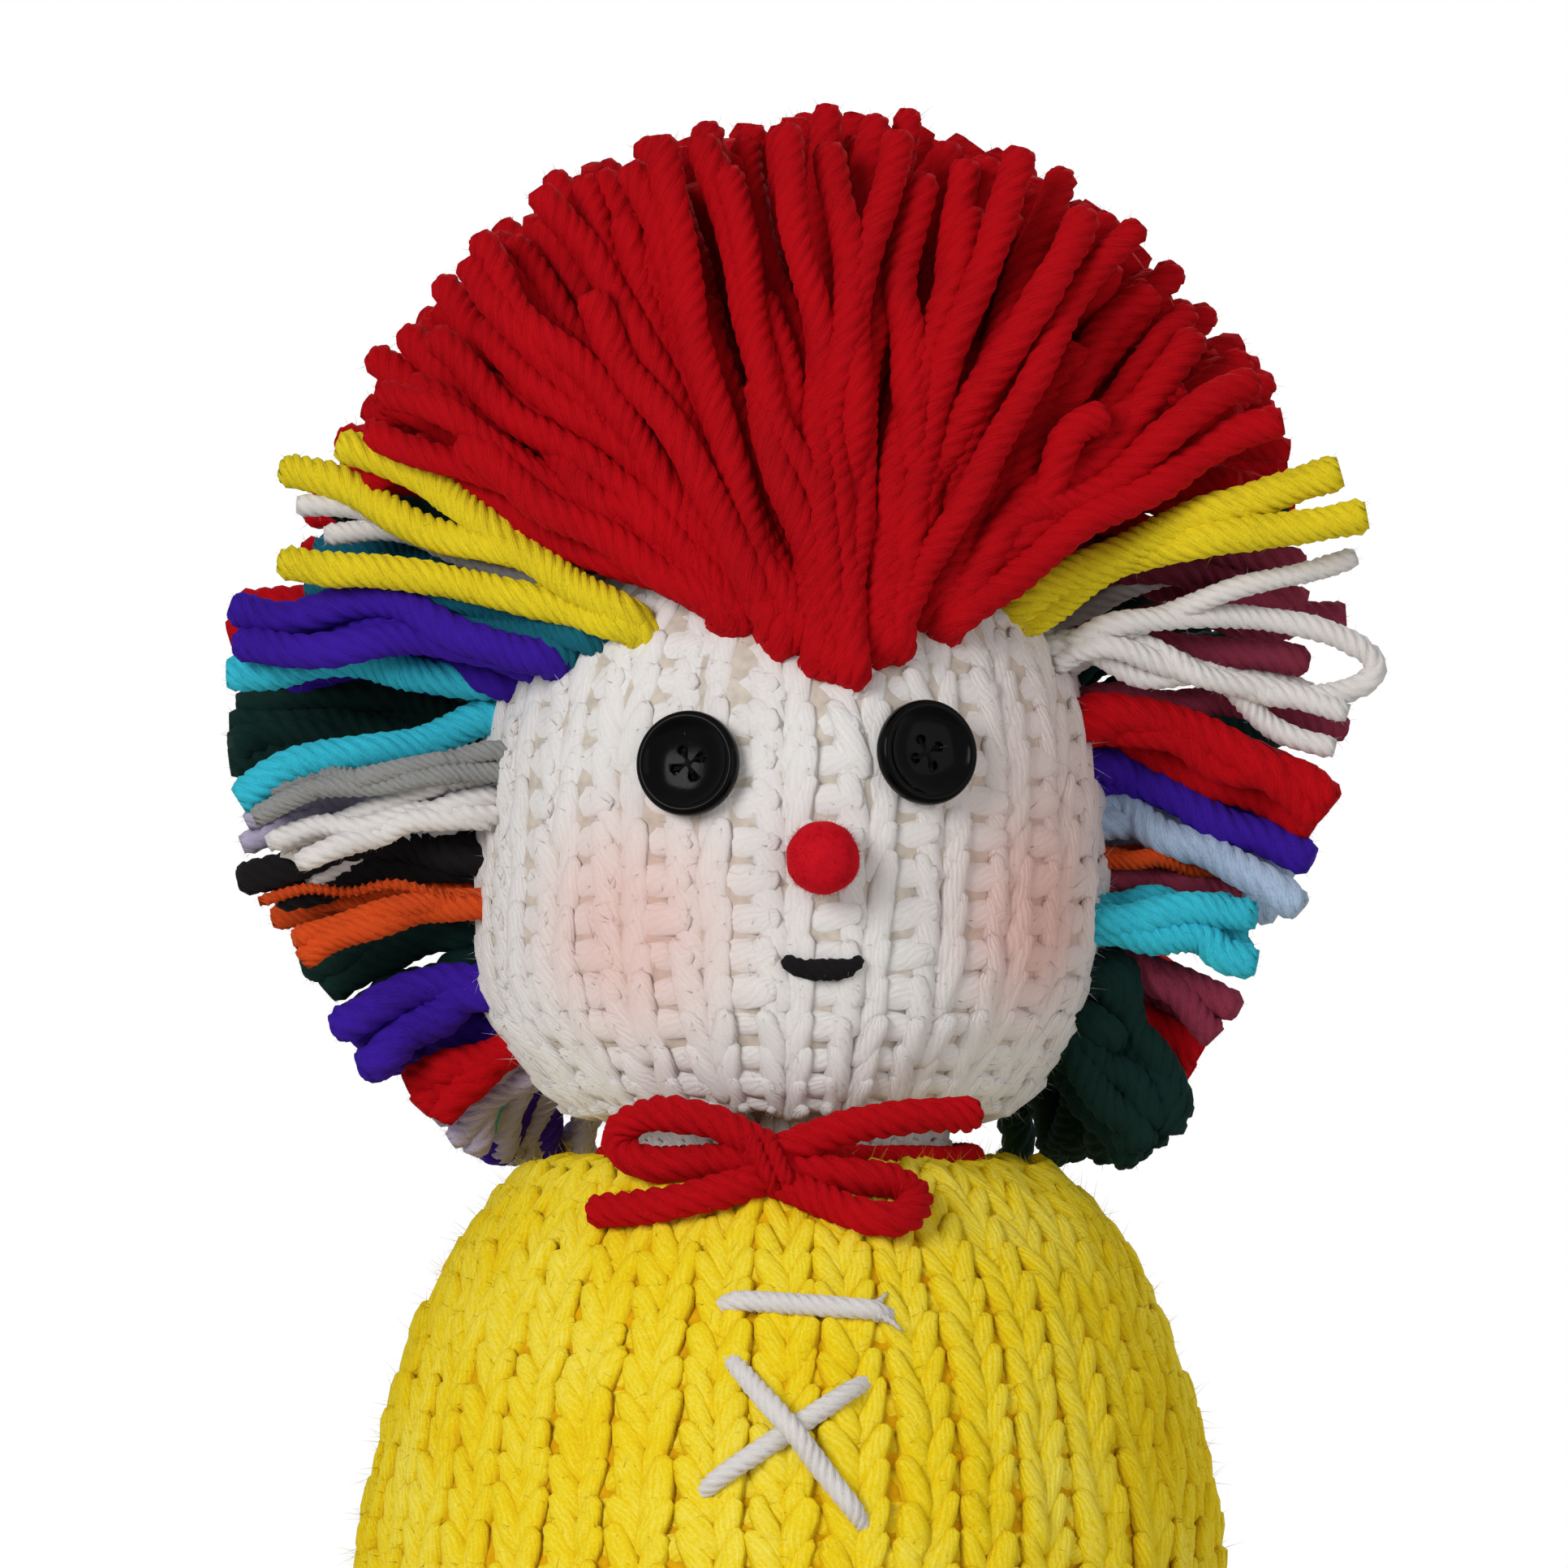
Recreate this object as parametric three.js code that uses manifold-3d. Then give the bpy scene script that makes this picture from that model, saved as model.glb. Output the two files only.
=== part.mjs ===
// Knitted clown doll: stuffed knit body and head, button eyes, yarn hair and a yarn bow.
// Millimetres, +Z up, the face looks towards -Y, origin at the middle of the base.
import * as THREE from 'three';
import { mergeVertices } from 'three/addons/utils/BufferGeometryUtils.js';
import Module from 'manifold-3d';

const wasm = await Module();
wasm.setup();

// Fits and materials
const clearance = 0.3;
const knitWall = 3;
const yarnDiameter = 4.2;
const tieDiameter = 3.2;
const stitchDiameter = 2.8;
const weldDistance = 1e-4;

// Body: a dome that is widest below the middle and draws in a little to its base
const bodyRadius = 53;
const baseRadius = 46;
const widestHeight = 50;
const domeHeight = 70;
const domeRoundness = 2.4;
const baseTaper = 2.2;
const shoulderRadius = 33.1;
const lipDraw = 2.4;
const lipRise = 1.9;
const lipDrop = 2.5;
const basePanelThickness = 3;
const stiffenerThickness = 1.5;
const stiffenerInset = 1;

// Neck: everything inside it is round about the point that the head turns on
const neckRise = 2.5;
const neckRadius = 20.1;
const sleeveReach = 28;
const neckOpening = 0.9;

// Head: widest at the cheeks, with a tall crown and a full chin
const headRadius = 38.4;
const chinRise = 3.1;
const crownRise = 42.6;
const crownRoundness = 2.8;
const chinDrop = 31.9;
const chinRoundness = 3;

// Heights up the doll: the shoulders carry the neck, and the neck the head
const shoulderHeight = bodyHeightAt(shoulderRadius);
const neckHeight = shoulderHeight + neckRise;
const cheekHeight = neckHeight + chinRise + chinDrop;

// Face: places across the face and above the cheeks
const buttonDiameter = 12.5;
const buttonThickness = 2.8;
const buttonRim = 1.7;
const buttonEdge = 0.8;
const buttonDish = 1.2;
const buttonHoleDiameter = 1.7;
const buttonHoleOffset = 2.1;
const buttonTwist = 14;
const threadDiameter = 0.9;
const leftEye = { x: -12.5, rise: 13.4 };
const rightEye = { x: 16.9, rise: 14.7 };
const noseDiameter = 8.8;
const nose = { x: 4.2, rise: 1.8 };
const mouthWidth = 9.2;
const mouthSag = 2.2;
const mouth = { x: 4.3, rise: -10.8 };

// Tie and bow: strands of the bow as points across and above the neck, out from the knot
const tieOpening = 52;
const tieRise = 0.6;
const bowYarn = 4;
const bowSlope = 1.6;
const chinClearance = 0.4;
const knotPlace = -2.8;
const knotWidth = 5.2;
const knotRise = 4.4;
const knotSlant = 1.2;
const rootForward = 0.8;
const strandBite = 1.3;
const leftLoop = {
  upper: [1.8, [[-13, 5.4], [-17.5, 6], [-20, 3.6]]],
  lower: [0.6, [[-13, 0.2], [-17.5, 0.7], [-20, 3.6]]],
};
const leftTail = [-4, [[-14, -5.2], [-22, -6.2]]];
const rightLoop = {
  upper: [-1.4, [[10, -1.2], [14.5, -3], [15.4, -6]]],
  lower: [-3, [[6, -6.4], [11, -7.9], [15.4, -6]]],
};
const rightTail = [3.2, [[11, 4.4], [22, 5.6]]];

// Chest stitches: ends across the chest and below the shoulders
const chestBar = [[-8.8, -15.5], [13.2, -17]];
const crossUnder = [[-11.1, -38.8], [9.5, -25]];
const crossOver = [[-8.3, -21.5], [9.2, -43]];
const crossLift = 1.2;
const crossReach = 4.6;

// Hair: knots that hold the yarn to the head, and the fan of red yarn above the brow
const knotDiameter = 5;
const strandArch = 2;
const strandBend = 0.45;
const fanCentre = { x: 2.7, rise: 31.5 };
const browKnots = [[-8.6, 29.2], [-2, 26.4], [4.7, 23.5], [11, 25.8], [18, 28.6]];
const frontFan = { perTuft: 4, reach: 62, spread: 66, lean: 12, depth: 6 };
const crownKnots = [[-13, 2], [0, 4], [13, 2]];
const crownFan = { perTuft: 5, reach: 58, spread: 60, lean: 2, depth: 15 };

// Facets: a filling has half as many sides as the cover round it
const bodySides = 32;
const headSides = 28;
const neckSides = 20;
const strandSides = 5;
const strandSteps = 2;
const stitchSides = 6;
const stitchSteps = 10;
const bowSteps = 6;
const tieSteps = 28;
const knotSides = 8;
const pompomSides = 12;
const buttonSides = 24;
const holeSides = 8;
// A strand's end is rounded by one narrower ring
const endRing = { along: 0.3, width: 0.7 };
// A direction that no strand of the doll runs in
const sideHint = new THREE.Vector3(0.31, 0.87, 0.38);

const colours = {
  bodyYellow: 0xf2d016,
  faceWhite: 0xe6e0d8,
  filling: 0xf0eeea,
  card: 0xb59a72,
  red: 0xc80a19,
  yellow: 0xebd72d,
  teal: 0x19697d,
  purple: 0x4b19b9,
  cyan: 0x32b9cd,
  green: 0x0a2823,
  grey: 0x969694,
  lilac: 0xb9afc8,
  white: 0xe1dcda,
  black: 0x0f0f0f,
  orange: 0xe1501e,
  blue: 0xafc3dc,
  maroon: 0x6e000f,
  button: 0x0c0c0d,
  pompom: 0xd70f28,
};

const doll = new THREE.Group();
doll.name = 'knitted_clown_doll';

// Adds one piece of the doll, in its own finish
function addPiece(name, geometry, colour, roughness = 0.9) {
  geometry.computeVertexNormals();
  const material = new THREE.MeshStandardMaterial({ color: colours[colour], roughness, metalness: 0 });
  const piece = new THREE.Mesh(geometry, material);
  piece.name = name;
  doll.add(piece);
  return piece;
}

// Closed meshes and solids

function signedVolume(geometry) {
  const place = geometry.getAttribute('position');
  const index = geometry.index.array;
  const [a, b, c] = [new THREE.Vector3(), new THREE.Vector3(), new THREE.Vector3()];
  let volume = 0;
  for (let i = 0; i < index.length; i += 3) {
    a.fromBufferAttribute(place, index[i]);
    b.fromBufferAttribute(place, index[i + 1]);
    c.fromBufferAttribute(place, index[i + 2]);
    volume += a.dot(b.cross(c)) / 6;
  }
  return volume;
}

// Merges shared corners, drops the slivers at the poles and turns the faces outwards
function weld(geometry) {
  geometry.deleteAttribute('normal');
  geometry.deleteAttribute('uv');
  const merged = mergeVertices(geometry, weldDistance);
  const index = merged.index.array;
  const kept = [];
  for (let i = 0; i < index.length; i += 3) {
    const [a, b, c] = [index[i], index[i + 1], index[i + 2]];
    if (a !== b && b !== c && c !== a) {
      kept.push(a, b, c);
    }
  }
  merged.setIndex(kept);
  if (signedVolume(merged) < 0) {
    merged.setIndex(kept.reverse());
  }
  return merged;
}

function solid(geometry) {
  const closed = geometry.index && !geometry.getAttribute('uv') ? geometry : weld(geometry);
  return new wasm.Manifold(new wasm.Mesh({
    numProp: 3,
    vertProperties: new Float32Array(closed.getAttribute('position').array),
    triVerts: new Uint32Array(closed.index.array),
  }));
}

function fromSolid(body) {
  const mesh = body.getMesh();
  const geometry = new THREE.BufferGeometry();
  geometry.setAttribute('position', new THREE.BufferAttribute(new Float32Array(mesh.vertProperties), 3));
  geometry.setIndex([...mesh.triVerts]);
  return geometry;
}

function fuse(geometries) {
  const bodies = geometries.map(solid);
  return fromSolid(bodies.reduce((whole, body) => whole.add(body)));
}

function cut(geometry, cutters) {
  return fromSolid(cutters.map(solid).reduce((whole, cutter) => whole.subtract(cutter), solid(geometry)));
}

function revolve(profile, sides) {
  const geometry = new THREE.LatheGeometry(profile.map(([r, z]) => new THREE.Vector2(r, z)), sides);
  geometry.rotateX(Math.PI / 2);
  return weld(geometry);
}

// Moves an outline inwards, square to itself; a point on the axis stays on it
function inset(profile, distance) {
  return profile.map(([r, z], i) => {
    const [r0, z0] = profile[Math.max(i - 1, 0)];
    const [r1, z1] = profile[Math.min(i + 1, profile.length - 1)];
    if (r === 0) {
      return [0, z - distance * Math.sign(r0 - r1 || 1)];
    }
    const run = Math.hypot(r1 - r0, z1 - z0);
    return [r - distance * (z1 - z0) / run, z + distance * (r1 - r0) / run];
  });
}

// Yarn: a tube with rounded ends along a curve
function yarn(curve, diameter, steps, sides = stitchSides) {
  const radius = diameter / 2;
  const length = curve.getLength();
  const stations = [[endRing.along * radius, endRing.width]];
  for (let i = 0; i <= steps; i += 1) {
    stations.push([radius + (length - diameter) * i / steps, 1]);
  }
  stations.push([length - endRing.along * radius, endRing.width]);
  const corners = [];
  const side = sideHint.clone();
  for (const [along, width] of stations) {
    const centre = curve.getPointAt(along / length);
    const tangent = curve.getTangentAt(along / length);
    side.addScaledVector(tangent, -side.dot(tangent)).normalize();
    const across = tangent.clone().cross(side);
    for (let k = 0; k < sides; k += 1) {
      const turn = 2 * Math.PI * k / sides;
      const corner = centre.clone().addScaledVector(side, radius * width * Math.cos(turn));
      corners.push(corner.addScaledVector(across, radius * width * Math.sin(turn)));
    }
  }
  const first = corners.push(curve.getPointAt(0)) - 1;
  const last = corners.push(curve.getPointAt(1)) - 1;
  const faces = [];
  const rings = stations.length;
  for (let k = 0; k < sides; k += 1) {
    const next = (k + 1) % sides;
    for (let i = 0; i < rings - 1; i += 1) {
      const [a, b] = [i * sides + k, i * sides + next];
      faces.push(a, b, b + sides, a, b + sides, a + sides);
    }
    faces.push(first, next, k, last, (rings - 1) * sides + k, (rings - 1) * sides + next);
  }
  const geometry = new THREE.BufferGeometry().setFromPoints(corners);
  geometry.setIndex(faces);
  return weld(geometry);
}

function through(points) {
  return new THREE.CatmullRomCurve3(points, false, 'centripetal');
}

// Outlines of the body and the head

function bodyRadiusAt(z) {
  if (z < widestHeight) {
    return bodyRadius - (bodyRadius - baseRadius) * ((widestHeight - z) / widestHeight) ** baseTaper;
  }
  const rise = Math.min((z - widestHeight) / domeHeight, 1);
  return bodyRadius * (1 - rise ** domeRoundness) ** (1 / domeRoundness);
}

// Height of the dome's surface at a distance from the axis
function bodyHeightAt(radius) {
  const rise = (1 - (radius / bodyRadius) ** domeRoundness) ** (1 / domeRoundness);
  return widestHeight + domeHeight * rise;
}

function headRadiusAt(z) {
  const up = z > cheekHeight;
  const power = up ? crownRoundness : chinRoundness;
  const rise = Math.min(Math.abs(z - cheekHeight) / (up ? crownRise : chinDrop), 1);
  return headRadius * (1 - rise ** power) ** (1 / power);
}

// Height of the head's surface, above or below the cheeks, at a distance from its axis
function headHeightAt(radius, up) {
  const power = up ? crownRoundness : chinRoundness;
  const rise = (1 - (radius / headRadius) ** power) ** (1 / power);
  return cheekHeight + (up ? crownRise : -chinDrop) * rise;
}

// A point that stands off a round surface, and the way the surface faces there
function standOff(radiusAt, x, y, z, lift) {
  const step = 0.1;
  const slope = (radiusAt(z + step) - radiusAt(z - step)) / (2 * step);
  const run = Math.hypot(x, y);
  const facing = new THREE.Vector3(x / run, y / run, -slope).normalize();
  return { place: new THREE.Vector3(x, y, z).addScaledVector(facing, lift), facing };
}

function onFront(radiusAt, x, z, lift) {
  return standOff(radiusAt, x, -Math.sqrt(radiusAt(z) ** 2 - x ** 2), z, lift);
}

// turn: 0 is the face, 90 the right side in a front view, 180 the back
function onHead(turn, z, lift) {
  const angle = THREE.MathUtils.degToRad(turn);
  const radius = headRadiusAt(z);
  return standOff(headRadiusAt, radius * Math.sin(angle), -radius * Math.cos(angle), z, lift);
}

function onCrown(x, y, lift) {
  return standOff(headRadiusAt, x, y, headHeightAt(Math.hypot(x, y), true), lift);
}

// Body

const neckSeat = neckRadius + clearance;
const neckMouth = neckSeat + neckOpening;
// The flats of a faceted ball lie this much closer to its middle than its corners
const ballFlats = Math.cos(Math.PI / neckSides) ** 2;

function neckBall(radius) {
  const ball = new THREE.SphereGeometry(radius, neckSides, neckSides / 2);
  return weld(ball.translate(0, 0, neckHeight));
}

function bodyOutline() {
  const outline = [];
  const sideSteps = 9;
  for (let i = 0; i <= sideSteps; i += 1) {
    const z = shoulderHeight * Math.sin(Math.PI / 2 * i / sideSteps);
    outline.push([bodyRadiusAt(z), z]);
  }
  const shoulder = bodyRadiusAt(shoulderHeight);
  const lip = new THREE.CubicBezierCurve(
    new THREE.Vector2(shoulder, shoulderHeight),
    new THREE.Vector2(shoulder - lipDraw, shoulderHeight + lipRise),
    new THREE.Vector2(neckMouth + lipDraw, shoulderHeight + lipRise),
    new THREE.Vector2(neckMouth, shoulderHeight - lipDrop),
  );
  const lipSteps = 4;
  for (let i = 1; i <= lipSteps; i += 1) {
    outline.push(lip.getPoint(i / lipSteps).toArray());
  }
  return outline;
}

function makeBody() {
  const outline = bodyOutline();
  const wall = inset(outline, knitWall);
  wall[0] = [baseRadius - knitWall, 0];
  addPiece('body_cover', revolve([...outline, ...wall.reverse(), outline[0]], bodySides), 'bodyYellow');

  const panelRadius = baseRadius - knitWall - clearance;
  const panel = new THREE.CylinderGeometry(panelRadius, panelRadius, basePanelThickness, bodySides);
  panel.rotateX(Math.PI / 2);
  addPiece('base_panel', weld(panel), 'bodyYellow').position.z = basePanelThickness / 2;

  const cardRadius = panelRadius - stiffenerInset;
  const card = new THREE.CylinderGeometry(cardRadius, cardRadius, stiffenerThickness, bodySides);
  card.rotateX(Math.PI / 2);
  const cardFoot = basePanelThickness + clearance;
  addPiece('base_stiffener', weld(card), 'card').position.z = cardFoot + stiffenerThickness / 2;

  // The filling swells up under the shoulders and stops below the rim of the neck
  const floor = cardFoot + stiffenerThickness + clearance;
  const foot = [bodyRadiusAt(floor) - knitWall - 2 * clearance, floor];
  const swell = inset(outline, knitWall + clearance);
  const top = swell.reduce((highest, point) => (point[1] > highest[1] ? point : highest));
  const side = swell.slice(0, swell.indexOf(top) + 1).filter(([, z]) => z > floor);
  const rim = swell.at(-1)[1] - clearance;
  const heart = revolve([[0, floor], foot, ...side, [top[0] - clearance, rim], [0, rim]], bodySides / 2);
  addPiece('body_stuffing', cut(heart, [neckBall(neckSeat / ballFlats)]), 'filling', 1);
}

// How far along the upper stitch of the cross it passes over the lower one
function crossingShare([[ax, az], [bx, bz]], [[cx, cz], [dx, dz]]) {
  const across = (bx - ax) * (dz - cz) - (bz - az) * (dx - cx);
  return ((cx - ax) * (dz - cz) - (cz - az) * (dx - cx)) / across;
}

// A stitch that lies on the chest; over is the stitch that it climbs over
function chestStitch(name, ends, over = null) {
  const [[x0, z0], [x1, z1]] = ends;
  const length = Math.hypot(x1 - x0, z1 - z0);
  const lie = stitchDiameter / 2 + clearance;
  const hump = over ? crossLift * (stitchDiameter + clearance) : 0;
  const crossing = over ? length * crossingShare(ends, over) : 0;
  const points = [];
  for (let i = 0; i <= stitchSteps; i += 1) {
    const share = i / stitchSteps;
    const x = THREE.MathUtils.lerp(x0, x1, share);
    const z = THREE.MathUtils.lerp(z0, z1, share);
    const rise = hump * Math.exp(-(((length * share - crossing) / crossReach) ** 2));
    points.push(onFront(bodyRadiusAt, x, shoulderHeight + z, lie + rise).place);
  }
  addPiece(name, yarn(through(points), stitchDiameter, stitchSteps), 'white');
}

// Neck, tie and bow

function neckZone(radius) {
  const points = [];
  const steps = 4;
  for (let i = 0; i <= steps; i += 1) {
    const angle = THREE.MathUtils.degToRad(sleeveReach * (2 * i / steps - 1));
    points.push([radius * Math.cos(angle), neckHeight + radius * Math.sin(angle)]);
  }
  return points;
}

function makeNeck() {
  const outer = neckZone(neckRadius);
  const inner = neckZone(neckRadius - knitWall).reverse();
  addPiece('neck_sleeve', revolve([...outer, ...inner, outer[0]], neckSides), 'faceWhite');
  addPiece('neck_core', neckBall((neckRadius - knitWall) * ballFlats - clearance), 'filling', 1);
}

// The bow lies on the sloping shoulders and stands clear of the chin
const bowStandOff = bowSlope * (bowYarn / 2 + clearance);
const bowRadius = bodyRadiusAt(neckHeight) + bowStandOff + chinClearance;

function onBow(x, rise, forward = 0) {
  const z = neckHeight + rise;
  const radius = Math.max(bodyRadiusAt(z) + bowStandOff, bowRadius) + forward;
  return new THREE.Vector3(x, -Math.sqrt(radius ** 2 - x ** 2), z);
}

// Where a strand at this height meets the slanted, round-ended knot; side is -1 or 1
function knotEdge(side, rise) {
  const half = knotWidth / 2;
  const pastEnd = Math.max(Math.abs(rise) - strandBite - (knotRise - half), 0) / half;
  const reach = half * Math.sqrt(Math.max(1 - pastEnd ** 2, 0));
  return knotPlace - knotSlant * rise / knotRise + side * (reach + clearance);
}

// The tie runs round the neck and comes forward to the back of the knot at both ends
function makeTie() {
  const ring = neckRadius + clearance + tieDiameter / 2;
  const frontHeight = neckHeight + tieRise;
  const endGap = (tieDiameter + clearance) / 2;
  const knotBack = bowRadius - Math.sqrt((knotWidth / 2) ** 2 - endGap ** 2) + clearance;
  const points = [new THREE.Vector3(knotPlace - endGap, -knotBack, frontHeight)];
  const turns = 8;
  for (let i = 0; i <= turns; i += 1) {
    const turn = -tieOpening - (360 - 2 * tieOpening) * i / turns;
    const angle = THREE.MathUtils.degToRad(turn);
    const nearFront = i === 0 || i === turns;
    const height = nearFront ? neckHeight + tieRise / 2 : neckHeight;
    points.push(new THREE.Vector3(ring * Math.sin(angle), -ring * Math.cos(angle), height));
  }
  points.push(new THREE.Vector3(knotPlace + endGap, -knotBack, frontHeight));
  addPiece('neck_tie', yarn(through(points), tieDiameter, tieSteps), 'red');
}

// side is -1 for strands on the left of the knot in a front view, 1 for those on the right
function bowStrand(side, [start, route]) {
  const root = onBow(knotEdge(side, start), start, rootForward);
  const points = route.map(([x, rise]) => onBow(x, rise));
  return yarn(through([root, ...points]), bowYarn, bowSteps);
}

function makeBow() {
  const knot = [onBow(knotPlace - knotSlant, knotRise), onBow(knotPlace + knotSlant, -knotRise)];
  addPiece('bow_knot', yarn(through(knot), knotWidth, strandSteps, knotSides), 'red');
  addPiece('bow_loop_left', fuse([bowStrand(-1, leftLoop.upper), bowStrand(-1, leftLoop.lower)]), 'red');
  addPiece('bow_tail_left', bowStrand(-1, leftTail), 'red');
  addPiece('bow_loop_right', fuse([bowStrand(1, rightLoop.upper), bowStrand(1, rightLoop.lower)]), 'red');
  addPiece('bow_tail_right', bowStrand(1, rightTail), 'red');
}

// Head and face

function headOutline() {
  const outline = [];
  const crownSteps = 7;
  for (let i = 0; i <= crownSteps; i += 1) {
    const z = cheekHeight + crownRise * Math.cos(Math.PI / 2 * i / crownSteps);
    outline.push([i === 0 ? 0 : headRadiusAt(z), z]);
  }
  const chinSteps = 6;
  const bottom = headHeightAt(neckMouth, false);
  for (let i = 1; i <= chinSteps; i += 1) {
    const z = cheekHeight - (cheekHeight - bottom) * Math.sin(Math.PI / 2 * i / chinSteps);
    outline.push([headRadiusAt(z), z]);
  }
  return outline.reverse();
}

function makeHead() {
  const outline = headOutline();
  const wall = inset(outline, knitWall);
  addPiece('head_cover', revolve([...wall.reverse(), ...outline], headSides), 'faceWhite');
  const filling = inset(outline, knitWall + clearance);
  const heart = revolve([[0, filling[0][1]], ...filling], headSides / 2);
  addPiece('head_stuffing', cut(heart, [neckBall(neckSeat / ballFlats)]), 'filling', 1);
}

function faceAlong(piece, spot, twist = 0) {
  piece.position.copy(spot.place);
  piece.quaternion.setFromUnitVectors(new THREE.Vector3(0, 0, 1), spot.facing);
  piece.rotateZ(THREE.MathUtils.degToRad(twist));
}

function peg(diameter, length, x, y, z) {
  const geometry = new THREE.CylinderGeometry(diameter / 2, diameter / 2, length, holeSides);
  geometry.rotateX(Math.PI / 2);
  return weld(geometry.translate(x, y, z));
}

const holePlaces = [0, 1, 2, 3].map((quarter) => [
  buttonHoleOffset * Math.cos(quarter * Math.PI / 2),
  buttonHoleOffset * Math.sin(quarter * Math.PI / 2),
]);

function buttonShape() {
  const radius = buttonDiameter / 2;
  const dishFloor = buttonThickness - buttonDish;
  const crest = buttonThickness - buttonEdge;
  const profile = [
    [0, 0], [radius - buttonEdge, 0], [radius, buttonEdge], [radius, crest],
    [radius - buttonEdge, buttonThickness], [radius - buttonRim, buttonThickness - buttonDish / 3],
    [radius - buttonRim - buttonDish, dishFloor], [0, dishFloor],
  ];
  const holes = holePlaces.map(([x, y]) => peg(buttonHoleDiameter, 3 * buttonThickness, x, y, 0));
  return cut(revolve(profile, buttonSides), holes);
}

// Two crossed stitches that pass through the four holes
function threadShape() {
  const top = buttonThickness - buttonDish + clearance + threadDiameter / 2;
  const foot = clearance / 2;
  const legs = holePlaces.map(([x, y]) => peg(threadDiameter, top - foot, x, y, (top + foot) / 2));
  const bars = [0, Math.PI / 2].map((turn) => {
    const radius = threadDiameter / 2;
    const bar = new THREE.CylinderGeometry(radius, radius, 2 * buttonHoleOffset, holeSides);
    return weld(bar.rotateZ(turn).translate(0, 0, top));
  });
  return fuse([...bars, ...legs]);
}

function makeEye(side, { x, rise }) {
  const spot = onFront(headRadiusAt, x, cheekHeight + rise, clearance);
  faceAlong(addPiece(`eye_button_${side}`, buttonShape(), 'button', 0.15), spot, buttonTwist);
  faceAlong(addPiece(`eye_thread_${side}`, threadShape(), 'black'), spot, buttonTwist);
}

function makeFace() {
  makeEye('left', leftEye);
  makeEye('right', rightEye);
  const ball = weld(new THREE.SphereGeometry(noseDiameter / 2, pompomSides, pompomSides / 2));
  const noseHeight = cheekHeight + nose.rise;
  const noseSpot = onFront(headRadiusAt, nose.x, noseHeight, noseDiameter / 2 + clearance);
  faceAlong(addPiece('nose_pompom', ball, 'pompom', 1), noseSpot);
  const smile = [];
  const steps = 3;
  for (let i = -steps; i <= steps; i += 1) {
    const share = Math.sin(Math.PI / 2 * i / steps);
    const x = mouth.x + mouthWidth / 2 * share;
    const z = cheekHeight + mouth.rise - mouthSag * (1 - share ** 4);
    smile.push(onFront(headRadiusAt, x, z, stitchDiameter / 2 + clearance).place);
  }
  addPiece('mouth_stitch', yarn(through(smile), stitchDiameter, stitchSteps), 'black');
}

// Hair: a tuft is a knot on the head and the strands that come out of it

function tuft(name, colour, root, tips) {
  const knot = new THREE.SphereGeometry(knotDiameter / 2, stitchSides, stitchSides / 2);
  knot.translate(root.place.x, root.place.y, root.place.z);
  const strands = tips.map((tip) => {
    const bend = root.place.clone().lerp(tip, strandBend).addScaledVector(root.facing, strandArch);
    const curve = new THREE.QuadraticBezierCurve3(root.place, bend, tip);
    return yarn(curve, yarnDiameter, strandSteps, strandSides);
  });
  addPiece(name, fuse([weld(knot), ...strands]), colour);
}

const knotLift = knotDiameter / 2 + clearance / 3;

// A fan's tips lie on a circle, shared out evenly over its tufts; every other strand leans deeper
function makeFan(name, roots, { perTuft, reach, spread, lean, depth }) {
  const last = perTuft * roots.length - 1;
  roots.forEach((root, i) => {
    const tips = [];
    for (let k = perTuft * i; k < perTuft * (i + 1); k += 1) {
      const angle = THREE.MathUtils.degToRad(spread * (2 * k / last - 1));
      const x = fanCentre.x + reach * Math.sin(angle);
      const y = root.place.y + lean + depth * (k % 2);
      const z = cheekHeight + fanCentre.rise + reach * Math.cos(angle);
      tips.push(new THREE.Vector3(x, y, z));
    }
    tuft(`${name}_${i + 1}`, 'red', root, tips);
  });
}

function makeFans() {
  const browRoots = browKnots.map(([x, rise]) => (
    onFront(headRadiusAt, x, cheekHeight + rise, knotLift)));
  makeFan('hair_red_front', browRoots, frontFan);
  const crownRoots = crownKnots.map(([x, y]) => onCrown(x, y, knotLift));
  makeFan('hair_red_crown', crownRoots, crownFan);
}

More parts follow.
